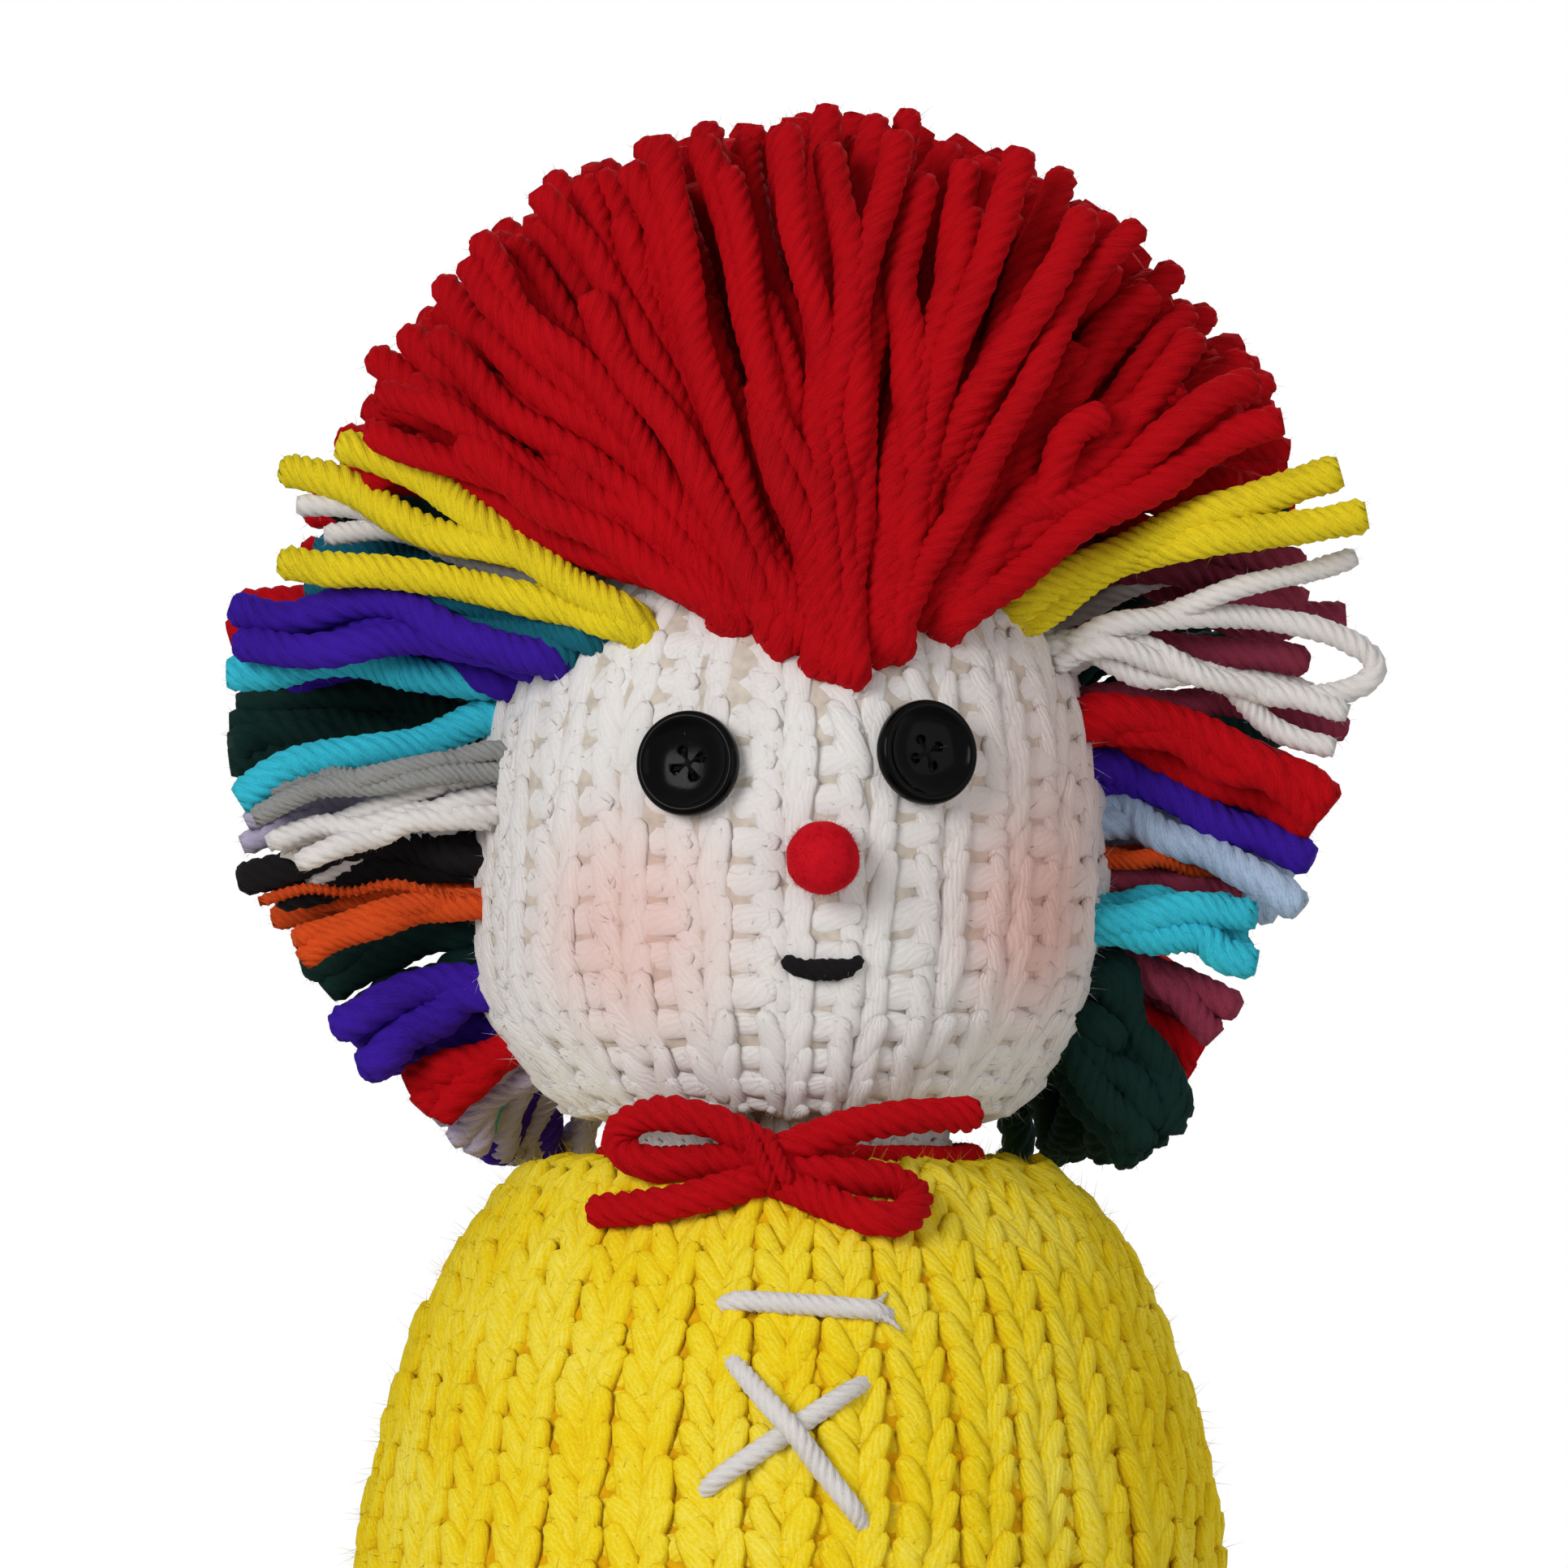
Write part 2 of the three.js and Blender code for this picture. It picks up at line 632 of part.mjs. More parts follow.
// Each tuft: name, colour, turn round the head (0 is the face, 90 the right side in a front view)
// and height of its knot above the cheeks, then each strand's direction (degrees from upright, in a
// front view), its length and how far it leans back
const sideTufts = [
  ['hair_left_yellow', 'yellow', -33, 30, [[-60, 43, 12], [-80, 45, 12]]],
  ['hair_left_teal', 'teal', -45, 25.8, [[-74, 32, 15]]],
  ['hair_left_purple', 'purple', -53, 21, [[-73, 40, 10], [-82, 40, 10]]],
  ['hair_left_cyan', 'cyan', -80, 18, [[-81, 29, 2], [-108, 29, 2]]],
  ['hair_left_green', 'green', -100, 17, [[-75, 28, 10], [-89, 27, -1], [-97, 27, -1], [-105, 25, 10]]],
  ['hair_left_grey', 'grey', -68, 13.5, [[-105, 23, 3]]],
  ['hair_left_lilac', 'lilac', -90, 9, [[-93, 22, 0], [-100, 25, 0], [-97, 22, 12]]],
  ['hair_left_white', 'white', -74, 6, [[-98, 23, 2], [-106, 22, 2]]],
  ['hair_left_black', 'black', -86, 2, [[-95, 26, 0], [-100, 20, 0], [-98, 22, 12]]],
  ['hair_left_orange', 'orange', -80, -4, [[-97, 19, 1], [-106, 20, 1], [-100, 18, 13]]],
  ['hair_left_purple_low', 'purple', -88, -14.5, [[-102, 17, 0], [-127, 14, 0], [-112, 16, 10]]],
  ['hair_left_red_low', 'red', -100, -22.5, [[-126, 11, 0], [-150, 9, 0]]],
  ['hair_left_lilac_low', 'lilac', -125, -25.5, [[-105, 14, 6], [-122, 12, 1]]],
  ['hair_right_yellow', 'yellow', 60, 31, [[66, 40, 6], [74, 41, 6]]],
  ['hair_right_maroon', 'maroon', 92, 36, [[80, 34, 12], [86, 34, 1], [95, 36, 1]]],
  ['hair_right_white', 'white', 70, 24, [[70, 39, 4], [89, 38, 4], [99, 35, 6], [106, 35, 6]]],
  ['hair_right_red', 'red', 78, 14, [[99, 27, 3], [108, 26, 3], [100, 26, 16]]],
  ['hair_right_purple', 'purple', 90, 9, [[108, 25, 2], [100, 24, 12]]],
  ['hair_right_blue', 'blue', 94, 3.5, [[112, 24, 1], [106, 22, 12]]],
  ['hair_right_orange', 'orange', 70, 1.5, [[98, 15, 1], [104, 13, 1]]],
  ['hair_right_cyan', 'cyan', 80, -5.5, [[84, 15, 1], [107, 17, 1], [100, 16, 12]]],
  ['hair_right_maroon_low', 'maroon', 96, -12.5, [[101, 15, 0], [124, 14, 0], [110, 14, 10]]],
  ['hair_right_green_low', 'green', 84, -21, [[112, 13, 1], [135, 15, 1], [158, 12, 1], [120, 14, 11]]],
  ['hair_back_top', 'red', 180, 35, [[-70, 42, 15], [-42, 46, 18], [-14, 48, 18], [14, 48, 18],
    [42, 46, 18], [70, 42, 15]]],
  ['hair_back_left', 'purple', -145, 19, [[-50, 40, 10], [-75, 42, 8], [-100, 40, 6]]],
  ['hair_back_right', 'green', 145, 19, [[50, 40, 10], [75, 42, 8], [100, 40, 6]]],
  ['hair_back_middle', 'teal', 180, 13, [[-120, 36, 4], [-150, 34, 4], [178, 30, 5], [150, 34, 4],
    [120, 36, 4]]],
  ['hair_back_low_left', 'cyan', -150, -7, [[-95, 34, 3], [-120, 32, 4], [-150, 22, 4]]],
  ['hair_back_low_right', 'red', 150, -7, [[95, 34, 3], [120, 32, 4], [150, 22, 4]]],
];

function makeSideHair() {
  for (const [name, colour, turn, rise, strands] of sideTufts) {
    const root = onHead(turn, cheekHeight + rise, knotLift);
    const tips = strands.map(([direction, length, lean]) => {
      const angle = THREE.MathUtils.degToRad(direction);
      return new THREE.Vector3(length * Math.sin(angle), lean, length * Math.cos(angle)).add(root.place);
    });
    tuft(name, colour, root, tips);
  }
}

makeBody();
chestStitch('chest_bar_stitch', chestBar);
chestStitch('chest_cross_under', crossUnder);
chestStitch('chest_cross_over', crossOver, crossUnder);
makeNeck();
makeTie();
makeBow();
makeHead();
makeFace();
makeFans();
makeSideHair();

export default doll;
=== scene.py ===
import math
import random
import bmesh
import bpy
from mathutils import Matrix, Vector, geometry, noise


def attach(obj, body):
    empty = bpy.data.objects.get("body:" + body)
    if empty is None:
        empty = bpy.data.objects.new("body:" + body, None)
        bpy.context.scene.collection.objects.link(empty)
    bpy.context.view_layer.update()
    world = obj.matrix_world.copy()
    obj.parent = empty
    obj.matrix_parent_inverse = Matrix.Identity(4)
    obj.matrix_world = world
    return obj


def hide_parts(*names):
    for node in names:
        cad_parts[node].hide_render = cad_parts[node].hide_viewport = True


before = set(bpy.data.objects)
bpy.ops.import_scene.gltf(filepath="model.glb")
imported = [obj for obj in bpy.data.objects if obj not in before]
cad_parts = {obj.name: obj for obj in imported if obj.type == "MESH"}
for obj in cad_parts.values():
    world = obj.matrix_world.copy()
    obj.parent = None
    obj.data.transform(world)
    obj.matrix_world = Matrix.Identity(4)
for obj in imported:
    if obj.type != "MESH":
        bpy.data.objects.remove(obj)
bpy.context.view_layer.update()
scene = bpy.context.scene
scene.view_settings.view_transform = "Standard"
noise.seed_set(5)  # without it the noise vectors differ from run to run
mm = 0.001
weld = 1e-6  # points closer than this are one
fineWeld = 1e-7


class Wire:
    # wraps an output socket, so that finishes can be written as sums
    def __init__(self, tree, socket=None):
        self.tree = tree
        self.socket = socket

    # settings are set first, then the sockets get their values or links
    def node(self, kind, settings=None, sockets=None, output=0):
        made = self.tree.nodes.new(kind)
        for name, value in (settings or {}).items():
            if name == "stops":
                setStops(made.color_ramp, value)
            else:
                setattr(made, name, value)
        for name, value in (sockets or {}).items():
            if isinstance(value, Wire):
                self.tree.links.new(value.socket, made.inputs[name])
            else:
                made.inputs[name].default_value = value
        return Wire(self.tree, made.outputs[output] if len(made.outputs) else None)

    def out(self, name):
        return Wire(self.tree, self.socket.node.outputs[name])

    def maths(self, operation, first, second=0.0):
        return self.node("ShaderNodeMath", {"operation": operation}, {0: first, 1: second})

    def __add__(self, other):
        return self.maths("ADD", self, other)

    def __sub__(self, other):
        return self.maths("SUBTRACT", self, other)

    def __rsub__(self, other):
        return self.maths("SUBTRACT", other, self)

    def __mul__(self, other):
        return self.maths("MULTIPLY", self, other)

    __radd__ = __add__
    __rmul__ = __mul__


def setStops(ramp, stops):
    while len(ramp.elements) < len(stops):
        ramp.elements.new(1.0)
    for element, (place, colour) in zip(ramp.elements, stops):
        element.position = place
        element.color = colour


def newFinish(name):
    finish = bpy.data.materials.new(name)
    finish.use_nodes = True
    finish.node_tree.nodes.clear()
    return finish, Wire(finish.node_tree)


# a colour of 0 to 255 in the shader's linear light, made darker or lighter by gain
def tint(shade, gain=1.0):
    parts = []
    for part in shade:
        part = part / 255
        part = part / 12.92 if part <= 0.04045 else ((part + 0.055) / 1.055) ** 2.4
        parts.append(min(1.0, gain * part))
    return (*parts, 1.0)


def speckle(wire, where, scale, detail=2.0):
    return wire.node("ShaderNodeTexNoise", {}, {"Vector": where, "Scale": scale, "Detail": detail})


def mixTint(wire, share, first, second):
    return wire.node("ShaderNodeMix", {"data_type": "RGBA"}, {0: share, 6: first, 7: second}, 2)


# a ramp that has its colours at the places given
def toneRamp(wire, tone, places, colours):
    return wire.node("ShaderNodeValToRGB", {"stops": list(zip(places, colours))}, {"Fac": tone})


# values added up, each by its share
def weigh(shares, *parts):
    total = parts[0] * shares[0]
    for share, part in zip(shares[1:], parts[1:]):
        total = total + part * share
    return total


def unit(wire, vector):
    return wire.node("ShaderNodeVectorMath", {"operation": "NORMALIZE"}, {0: vector})


# the way a stitch faces, leant towards the way the stuffed form faces, as light passes through soft
# yarn, and how much of a stitch's top this is, which the knit's colour uses to paint shade on the
# sides of a stitch and its top lighter
def softFacing(wire, spot, look):
    outward = wire.node("ShaderNodeVectorMath", {"operation": "SUBTRACT"}, {0: spot, 1: look["middle"]})
    outward = wire.node("ShaderNodeVectorMath", {"operation": "MULTIPLY"}, {0: outward, 1: look["round"]})
    outward = wire.node("ShaderNodeVectorTransform", {
        "vector_type": "NORMAL", "convert_from": "OBJECT", "convert_to": "WORLD"}, {0: unit(wire, outward)})
    own = wire.node("ShaderNodeNewGeometry", output="Normal")
    top = wire.node("ShaderNodeVectorMath", {"operation": "DOT_PRODUCT"}, {0: own, 1: outward}, 1)
    lean = wire.node("ShaderNodeMix", {"data_type": "VECTOR"}, {0: look["soft"], 4: own, 5: outward}, 1)
    return unit(wire, lean), top


# puts colour, roughness and relief on a surface, and a soft sheen where the look has one
def dress(wire, colour, rough, height, look, facing=None):
    relief = {"Strength": look["bump"], "Distance": look["bumpDepth"] * mm, "Height": height}
    if facing:
        relief["Normal"] = facing
    sockets = {"Base Color": colour, "Roughness": rough, "Specular IOR Level": look["gloss"],
               "Normal": wire.node("ShaderNodeBump", {}, relief)}
    if "sheen" in look:
        sockets["Sheen Weight"] = look["sheen"]
        sockets["Sheen Roughness"] = look["sheenRough"]
        sockets["Sheen Tint"] = tint(look["shade"], look["sheenGain"])
    surface = wire.node("ShaderNodeBsdfPrincipled", {}, sockets)
    wire.node("ShaderNodeOutputMaterial", {}, {"Surface": surface})


# yarn that runs along its own u, with its plies side by side in v; tone holds the shares of fibres,
# fluff and patches, height those of fibres and fluff
yarnLook = dict(fibreRun=26.0, fibreCount=46.0, fluff=3600.0, patch=70.0, tone=(0.45, 0.25, 0.3),
                places=(0.33, 0.5, 0.7), deep=0.62, light=1.2, rough=0.75, roughVary=0.2,
                height=(0.9, 0.4), bump=0.8, bumpDepth=0.3, gloss=0.1, sheen=0.35, sheenRough=0.45,
                sheenGain=2.2)
smoothLook = dict(yarn_white=dict(deep=0.82, light=1.08, bump=0.45))


def yarnFinish(slot, shade):
    finish, wire = newFinish(slot)
    look = dict(yarnLook, shade=shade, **smoothLook.get(slot, {}))
    run = wire.node("ShaderNodeTexCoord", output="UV")
    split = wire.node("ShaderNodeSeparateXYZ", {}, {0: run})
    threads = wire.node("ShaderNodeCombineXYZ", {}, {
        "X": split.out("X") * look["fibreRun"], "Y": split.out("Y") * look["fibreCount"]})
    fibre = speckle(wire, threads, 1.0, detail=4.0)
    spot = wire.node("ShaderNodeTexCoord", output="Object")
    fluff = speckle(wire, spot, look["fluff"], detail=3.0)
    patch = speckle(wire, spot, look["patch"])
    colour = toneRamp(wire, weigh(look["tone"], fibre, fluff, patch), look["places"], [
        tint(shade, look["deep"]), tint(shade), tint(shade, look["light"])])
    rough = fluff * look["roughVary"] + look["rough"]
    dress(wire, colour, rough, weigh(look["height"], fibre, fluff), look)
    return finish


# knit whose stitches each carry a round-the-leg u and an along-the-leg v, with fine plies aslant over
# a leg; tone holds the shares of plies, fibres, fluff, patches and a stitch's top, height the first three;
# in tone the plies paint shade into their creases, and a stitch's top paints shade on its sides and
# its top lighter
knitLook = dict(plies=13.0, twist=6.0, patch=60.0, bend=300.0, bendReach=2.5, fluff=3200.0,
                threads=(2.6, 0.6, 9.0), tone=(0.05, 0.25, 0.25, 0.3, 0.18), places=(0.35, 0.56, 0.74),
                spark=2100.0, sparkFrom=0.66, sparkTo=0.74, sparkMost=0.7, blushAndShadeLeast=0.5, blushAndShadeCore=0.1,
                rough=0.7, roughVary=0.2, height=(0.35, 0.6, 0.5), bump=0.3, bumpDepth=0.3, gloss=0.1,
                sheen=0.3, sheenRough=0.45, sheenGain=1.2)
# the deep colour is that of a stitch's shaded sides and darker random tone, painted shade (on the yellow
# body an orange painted shade); the last colour, that of a stitch's lit top and of small glints, is a
# painted highlight
faceLook = dict(shade=(230, 226, 223), deep=(219, 208, 199), paintedHighlight=(238, 236, 234), blushAndShadeTint=(234, 170, 156),
                middle=(0.0, 0.0, 0.147), round=(1.0, 1.0, 0.6), soft=0.6,
                # blush on the left and right cheeks, the right one stronger in part as painted shade; the
                # third spot is a painted warm shade over the right of the face
                cheeks=[((-0.0195, -0.0325, 0.1405), 0.022, 0.5), ((0.0305, -0.0235, 0.1415), 0.019, 0.6),
                        ((0.034, -0.018, 0.152), 0.032, 0.3)])
bodyLook = dict(shade=(242, 212, 20), deep=(232, 172, 5), paintedHighlight=(251, 236, 100),
                middle=(0.0, 0.0, 0.045), round=(1.0, 1.0, 0.5), soft=0.6)


# blush on the cheeks, and a painted warm shade over the shaded right side of the face: centre, reach
# and greatest share of each, made uneven by the patches
def addBlushAndShade(wire, spot, colour, patch, look):
    for centre, reach, most in look.get("cheeks", ()):
        apart = wire.node("ShaderNodeVectorMath", {"operation": "DISTANCE"}, {0: spot, 1: centre}, 1)
        glow = wire.node("ShaderNodeMapRange", {"interpolation_type": "SMOOTHSTEP"}, {
            "Value": apart, "From Min": reach, "From Max": look["blushAndShadeCore"] * reach,
            "To Min": 0.0, "To Max": most})
        colour = mixTint(wire, glow * (patch + look["blushAndShadeLeast"]), colour, tint(look["blushAndShadeTint"]))
    return colour


def knitFinish(name, colours):
    finish, wire = newFinish(name)
    look = dict(knitLook, **colours)
    leg = wire.node("ShaderNodeTexCoord", output="UV")
    split = wire.node("ShaderNodeSeparateXYZ", {}, {0: leg})
    across = split.out("X") * look["plies"] + split.out("Y") * look["twist"]
    along = split.out("Y") * look["plies"] - split.out("X") * look["twist"]
    spot = wire.node("ShaderNodeTexCoord", output="Object")
    patch = speckle(wire, spot, look["patch"])
    bend = speckle(wire, spot, look["bend"]) * look["bendReach"]
    crest = wire.maths("COSINE", (across + bend) * (2 * math.pi)) * 0.5 + 0.5  # from 0 to 1
    fine, coarse, mixed = look["threads"]
    threads = wire.node("ShaderNodeCombineXYZ", {}, {
        "X": across * fine, "Y": along * coarse, "Z": patch * mixed})
    fibre = speckle(wire, threads, 1.0, detail=5.0)
    fluff = speckle(wire, spot, look["fluff"], detail=4.0)
    facing, top = softFacing(wire, spot, look)
    # tone paints shade in the ply creases and on the sides of a stitch, and its top lighter
    colour = toneRamp(wire, weigh(look["tone"], crest, fibre, fluff, patch, top), look["places"], [
        tint(look["deep"]), tint(look["shade"]), tint(look["paintedHighlight"])])
    # painted glints: small highlights painted into the colour as pale specks
    paintedGlints = wire.node("ShaderNodeMapRange", {}, {
        "Value": speckle(wire, spot, look["spark"]), "From Min": look["sparkFrom"],
        "From Max": look["sparkTo"], "To Min": 0.0, "To Max": look["sparkMost"]})
    colour = mixTint(wire, paintedGlints, colour, tint(look["paintedHighlight"]))
    colour = addBlushAndShade(wire, spot, colour, patch, look)
    rough = fluff * look["roughVary"] + look["rough"]
    dress(wire, colour, rough, weigh(look["height"], crest, fibre, fluff), look, facing)
    return finish


# filling, lining, felt and card: one speckle gives colour, roughness and relief
def grainFinish(name, look):
    finish, wire = newFinish(name)
    spot = wire.node("ShaderNodeTexCoord", output="Object")
    grain = speckle(wire, spot, look["grain"], look["detail"])
    colour = toneRamp(wire, grain, look["places"], look["tints"])
    colour = addBlushAndShade(wire, spot, colour, grain, look)
    dress(wire, colour, grain * look["roughVary"] + look["rough"], grain, look)
    return finish


# filling and cloth that shows only between the stitches
liningLook = dict(knitLook, grain=700.0, detail=4.0, deep=0.75, places=(0.3, 0.7), rough=0.75,
                  blushAndShadeTint=(214, 152, 138))


def liningFinish(name, shade, cheeks=()):
    tints = (tint(shade, liningLook["deep"]), tint(shade))
    return grainFinish(name, dict(liningLook, shade=shade, tints=tints, cheeks=cheeks))


# the two stuffed forms, in mm, as the covers have them
headForm = dict(radius=38.4, cheek=147.0, crown=42.6, crownPower=2.8, chin=31.9, chinPower=3.0)
bodyForm = dict(radius=53.0, base=46.0, widest=50.0, dome=70.0, domePower=2.4, taper=2.2)
slopeStep = 0.1  # over which a form's slope is taken


def headRadiusAt(z):
    up = z > headForm["cheek"]
    power = headForm["crownPower" if up else "chinPower"]
    rise = min(abs(z - headForm["cheek"]) / headForm["crown" if up else "chin"], 1.0)
    return headForm["radius"] * (1 - rise ** power) ** (1 / power)


def bodyRadiusAt(z):
    if z < bodyForm["widest"]:
        drop = (bodyForm["widest"] - z) / bodyForm["widest"]
        return bodyForm["radius"] - (bodyForm["radius"] - bodyForm["base"]) * drop ** bodyForm["taper"]
    rise = min((z - bodyForm["widest"]) / bodyForm["dome"], 1.0)
    return bodyForm["radius"] * (1 - rise ** bodyForm["domePower"]) ** (1 / bodyForm["domePower"])


# a point on a round form and the way the form faces there
def standOff(radiusAt, x, y, z, lift):
    slope = (radiusAt(z + slopeStep) - radiusAt(z - slopeStep)) / (2 * slopeStep)
    run = math.hypot(x, y)
    facing = Vector((x / run, y / run, -slope)).normalized()
    return Vector((x, y, z)) + facing * lift, facing


def onFront(radiusAt, x, z, lift=0.0):
    return standOff(radiusAt, x, -math.sqrt(radiusAt(z) ** 2 - x * x), z, lift)


# turn 0 is the face, 90 the right side in a front view, 180 the back
def onHead(turn, z, lift=0.0):
    angle = math.radians(turn)
    radius = headRadiusAt(z)
    return standOff(headRadiusAt, radius * math.sin(angle), -radius * math.cos(angle), z, lift)


def vary(draw, most):
    return draw.uniform(-most, most)


def stray(draw, reach):
    return Vector((vary(draw, 1), vary(draw, 1), vary(draw, 1))) * reach


def meshOf(bm, name):
    mesh = bpy.data.meshes.new(name)
    bm.to_mesh(mesh)
    bm.free()
    mesh.shade_smooth()
    return mesh


def newObject(name, data):
    thing = bpy.data.objects.new(name, data)
    scene.collection.objects.link(thing)
    return thing


def newPiece(name, mesh, finish, body, nodes=()):
    piece = newObject(name, mesh)
    mesh.materials.append(finish)
    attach(piece, body)
    if nodes:
        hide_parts(*nodes)
    return piece


def meshFromObject(thing):
    graph = bpy.context.evaluated_depsgraph_get()
    return bpy.data.meshes.new_from_object(thing.evaluated_get(graph), depsgraph=graph)


def dropObject(thing):
    data = thing.data
    bpy.data.objects.remove(thing)
    (bpy.data.meshes if isinstance(data, bpy.types.Mesh) else bpy.data.curves).remove(data)


# adds what a curve draws to a bmesh, and drops the curve
def addCurve(bm, name, curve):
    thing = newObject(name, curve)
    mesh = meshFromObject(thing)
    dropObject(thing)
    bm.from_mesh(mesh)
    bpy.data.meshes.remove(mesh)


def closeSeams(bm, gap):
    bmesh.ops.remove_doubles(bm, verts=bm.verts, dist=gap)
    bmesh.ops.recalc_face_normals(bm, faces=bm.faces)


# camera: the picture is 193.2 mm wide at the doll and its middle lies at the nose bridge
view = dict(away=2.5, middle=(-0.7, 157.9), width=193.2, sensor=36.0)


def makeCamera():
    lens = bpy.data.cameras.new("camera")
    lens.sensor_width = view["sensor"]
    lens.lens = view["sensor"] * view["away"] / (view["width"] * mm)
    camera = newObject("camera", lens)
    camera.location = (view["middle"][0] * mm, -view["away"], view["middle"][1] * mm)
    camera.rotation_euler = (math.pi / 2, 0, 0)
    scene.camera = camera


# studio: name, place, size and power of each lamp
lamps = [("keyLamp", (-0.6, -0.95, 0.52), 0.5, 8.2),
         ("fillLamp", (0.8, -0.8, 0.3), 0.8, 2.5),
         ("backLamp", (0.3, 0.9, 0.8), 0.6, 4.0)]
studio = dict(target=(0.0, 0.0, 0.14), ambient=0.28, floorReach=0.42, floorFade=0.22, floorSides=96,
              floorShade=(228, 226, 222), floorGlint=1.04, floorGrain=900.0, floorRough=0.9, floorGloss=0.1)


def makeStudio():
    for name, place, size, power in lamps:
        light = bpy.data.lights.new(name, "AREA")
        light.size = size
        light.energy = power
        lamp = newObject(name, light)
        lamp.location = place
        toward = Vector(studio["target"]) - Vector(place)
        lamp.rotation_euler = toward.to_track_quat("-Z", "Y").to_euler()
    world = bpy.data.worlds.new("studioWorld")
    scene.world = world
    world.use_nodes = True
    world.node_tree.nodes.clear()
    wire = Wire(world.node_tree)
    ray = wire.node("ShaderNodeLightPath", output="Is Camera Ray")
    seen = wire.maths("MAXIMUM", ray, ray.out("Is Glossy Ray"))
    seen = wire.maths("MAXIMUM", seen, ray.out("Is Transmission Ray"))
    strength = seen + (1 - seen) * studio["ambient"]
    sky = wire.node("ShaderNodeBackground", {}, {"Color": (1, 1, 1, 1), "Strength": strength})
    wire.node("ShaderNodeOutputWorld", {}, {"Surface": sky})

    bm = bmesh.new()
    bmesh.ops.create_circle(bm, cap_ends=True, segments=studio["floorSides"], radius=studio["floorReach"])
    floor = newObject("floor", meshOf(bm, "floor"))
    finish, wire = newFinish("floorPaper")
    spot = wire.node("ShaderNodeTexCoord", output="Object")
    apart = wire.node("ShaderNodeVectorMath", {"operation": "LENGTH"}, {0: spot}, 1)
    fade = wire.node("ShaderNodeMapRange", {"interpolation_type": "SMOOTHSTEP"}, {
        "Value": apart, "From Min": studio["floorReach"], "From Max": studio["floorFade"]})
    grain = speckle(wire, spot, studio["floorGrain"])
    shade = studio["floorShade"]
    colour = mixTint(wire, grain, tint(shade), tint(shade, studio["floorGlint"]))
    paper = wire.node("ShaderNodeBsdfPrincipled", {}, {
        "Base Color": colour, "Roughness": studio["floorRough"],
        "Specular IOR Level": studio["floorGloss"], "Alpha": fade})
    wire.node("ShaderNodeOutputMaterial", {}, {"Surface": paper})
    floor.data.materials.append(finish)


makeCamera()
makeStudio()
print("camera, lamps and floor are set")

shades = {
    "yarn_red": (182, 5, 17), "yarn_yellow": (232, 208, 36), "yarn_teal": (24, 98, 116),
    "yarn_purple": (57, 25, 152), "yarn_cyan": (56, 190, 214), "yarn_green": (14, 40, 36),
    "yarn_grey": (152, 152, 150), "yarn_lilac": (186, 176, 202), "yarn_white": (226, 221, 218),
    "yarn_black": (24, 22, 24), "yarn_orange": (216, 78, 30), "yarn_blue": (170, 192, 220),
    "yarn_maroon": (136, 50, 70)}
finishes = {slot: yarnFinish(slot, shade) for slot, shade in shades.items()}

# the face lining is darker than the white knit, in part painted shade for the gaps between stitches, and
# the body's orange lining is a painted shade of the yellow knit's gaps; the filling has its own colour
liningShades = dict(face=(218, 207, 193), body=(237, 180, 10), filling=(240, 238, 234))
faceKnit = knitFinish("faceKnit", faceLook)
bodyKnit = knitFinish("bodyKnit", bodyLook)
faceLining = liningFinish("faceLining", liningShades["face"], faceLook["cheeks"])
bodyLining = liningFinish("bodyLining", liningShades["body"])
filling = liningFinish("filling", liningShades["filling"])


# evenly spaced points along an outline of (radius, height) pairs, each with the outline's direction
def alongOutline(outline, pitch):
    spots = []
    left = pitch / 2
    for (r0, z0), (r1, z1) in zip(outline, outline[1:]):
        span = math.hypot(r1 - r0, z1 - z0)
        while left <= span:
            share = left / span
            spots.append((r0 + (r1 - r0) * share, z0 + (z1 - z0) * share,
                          (r1 - r0) / span, (z1 - z0) / span))
            left += pitch
        left -= span
    return spots


# a stitch's leg: the drop's sides and rings, how much fuller it is below and how square its round is
legShape = dict(sides=8, rings=6, fuller=0.14, square=-0.4, pole=0.01)
# loose fibres, in the leg's units; they stand on faces that turn inwards by less than the limit
looseFibre = dict(thick=0.026, length=(0.8, 2.6), sides=3, variants=8, limit=0.1, stand=(0.0, 0.5),
                  seat=0.45)


# one leg of a stitch: a full drop one mm thick, fuller below, that leans over the row beneath it, with
# loose fibres on it
def newLeg(knit, draw):
    bm = bmesh.new()
    bm.loops.layers.uv.new("UVMap")
    bmesh.ops.create_uvsphere(bm, u_segments=legShape["sides"], v_segments=legShape["rings"], radius=1.0,
                              calc_uvs=True)
    for vert in bm.verts:
        x, y, z = vert.co
        girth = math.hypot(x, y)
        square = girth ** legShape["square"] if girth > legShape["pole"] else 0.0
        wide = (1 - legShape["fuller"] * z) * square
        vert.co = Vector((x * wide, y * wide + knit["tuck"] * z, z * knit["half"]))
    bm.normal_update()
    roots = [(face.calc_center_median(), face.normal.copy()) for face in bm.faces
             if face.normal.y < looseFibre["limit"]]
    # the order of faces differs from run to run
    roots.sort(key=lambda pair: [round(part, 3) for part in pair[0]])
    for i in range(knit["fibres"]):
        root, facing = draw.choice(roots)
        length = draw.uniform(*looseFibre["length"])
        lie = facing * draw.uniform(*looseFibre["stand"]) + stray(draw, 1.0)
        place = Matrix.Translation(root + lie.normalized() * length * looseFibre["seat"])
        place = place @ lie.to_track_quat("Z", "Y").to_matrix().to_4x4()
        bmesh.ops.create_cone(bm, cap_ends=True, segments=looseFibre["sides"], radius1=looseFibre["thick"],
                              radius2=0.0, depth=length, matrix=place, calc_uvs=True)
    bmesh.ops.remove_doubles(bm, verts=bm.verts, dist=weld)
    return meshOf(bm, "leg")


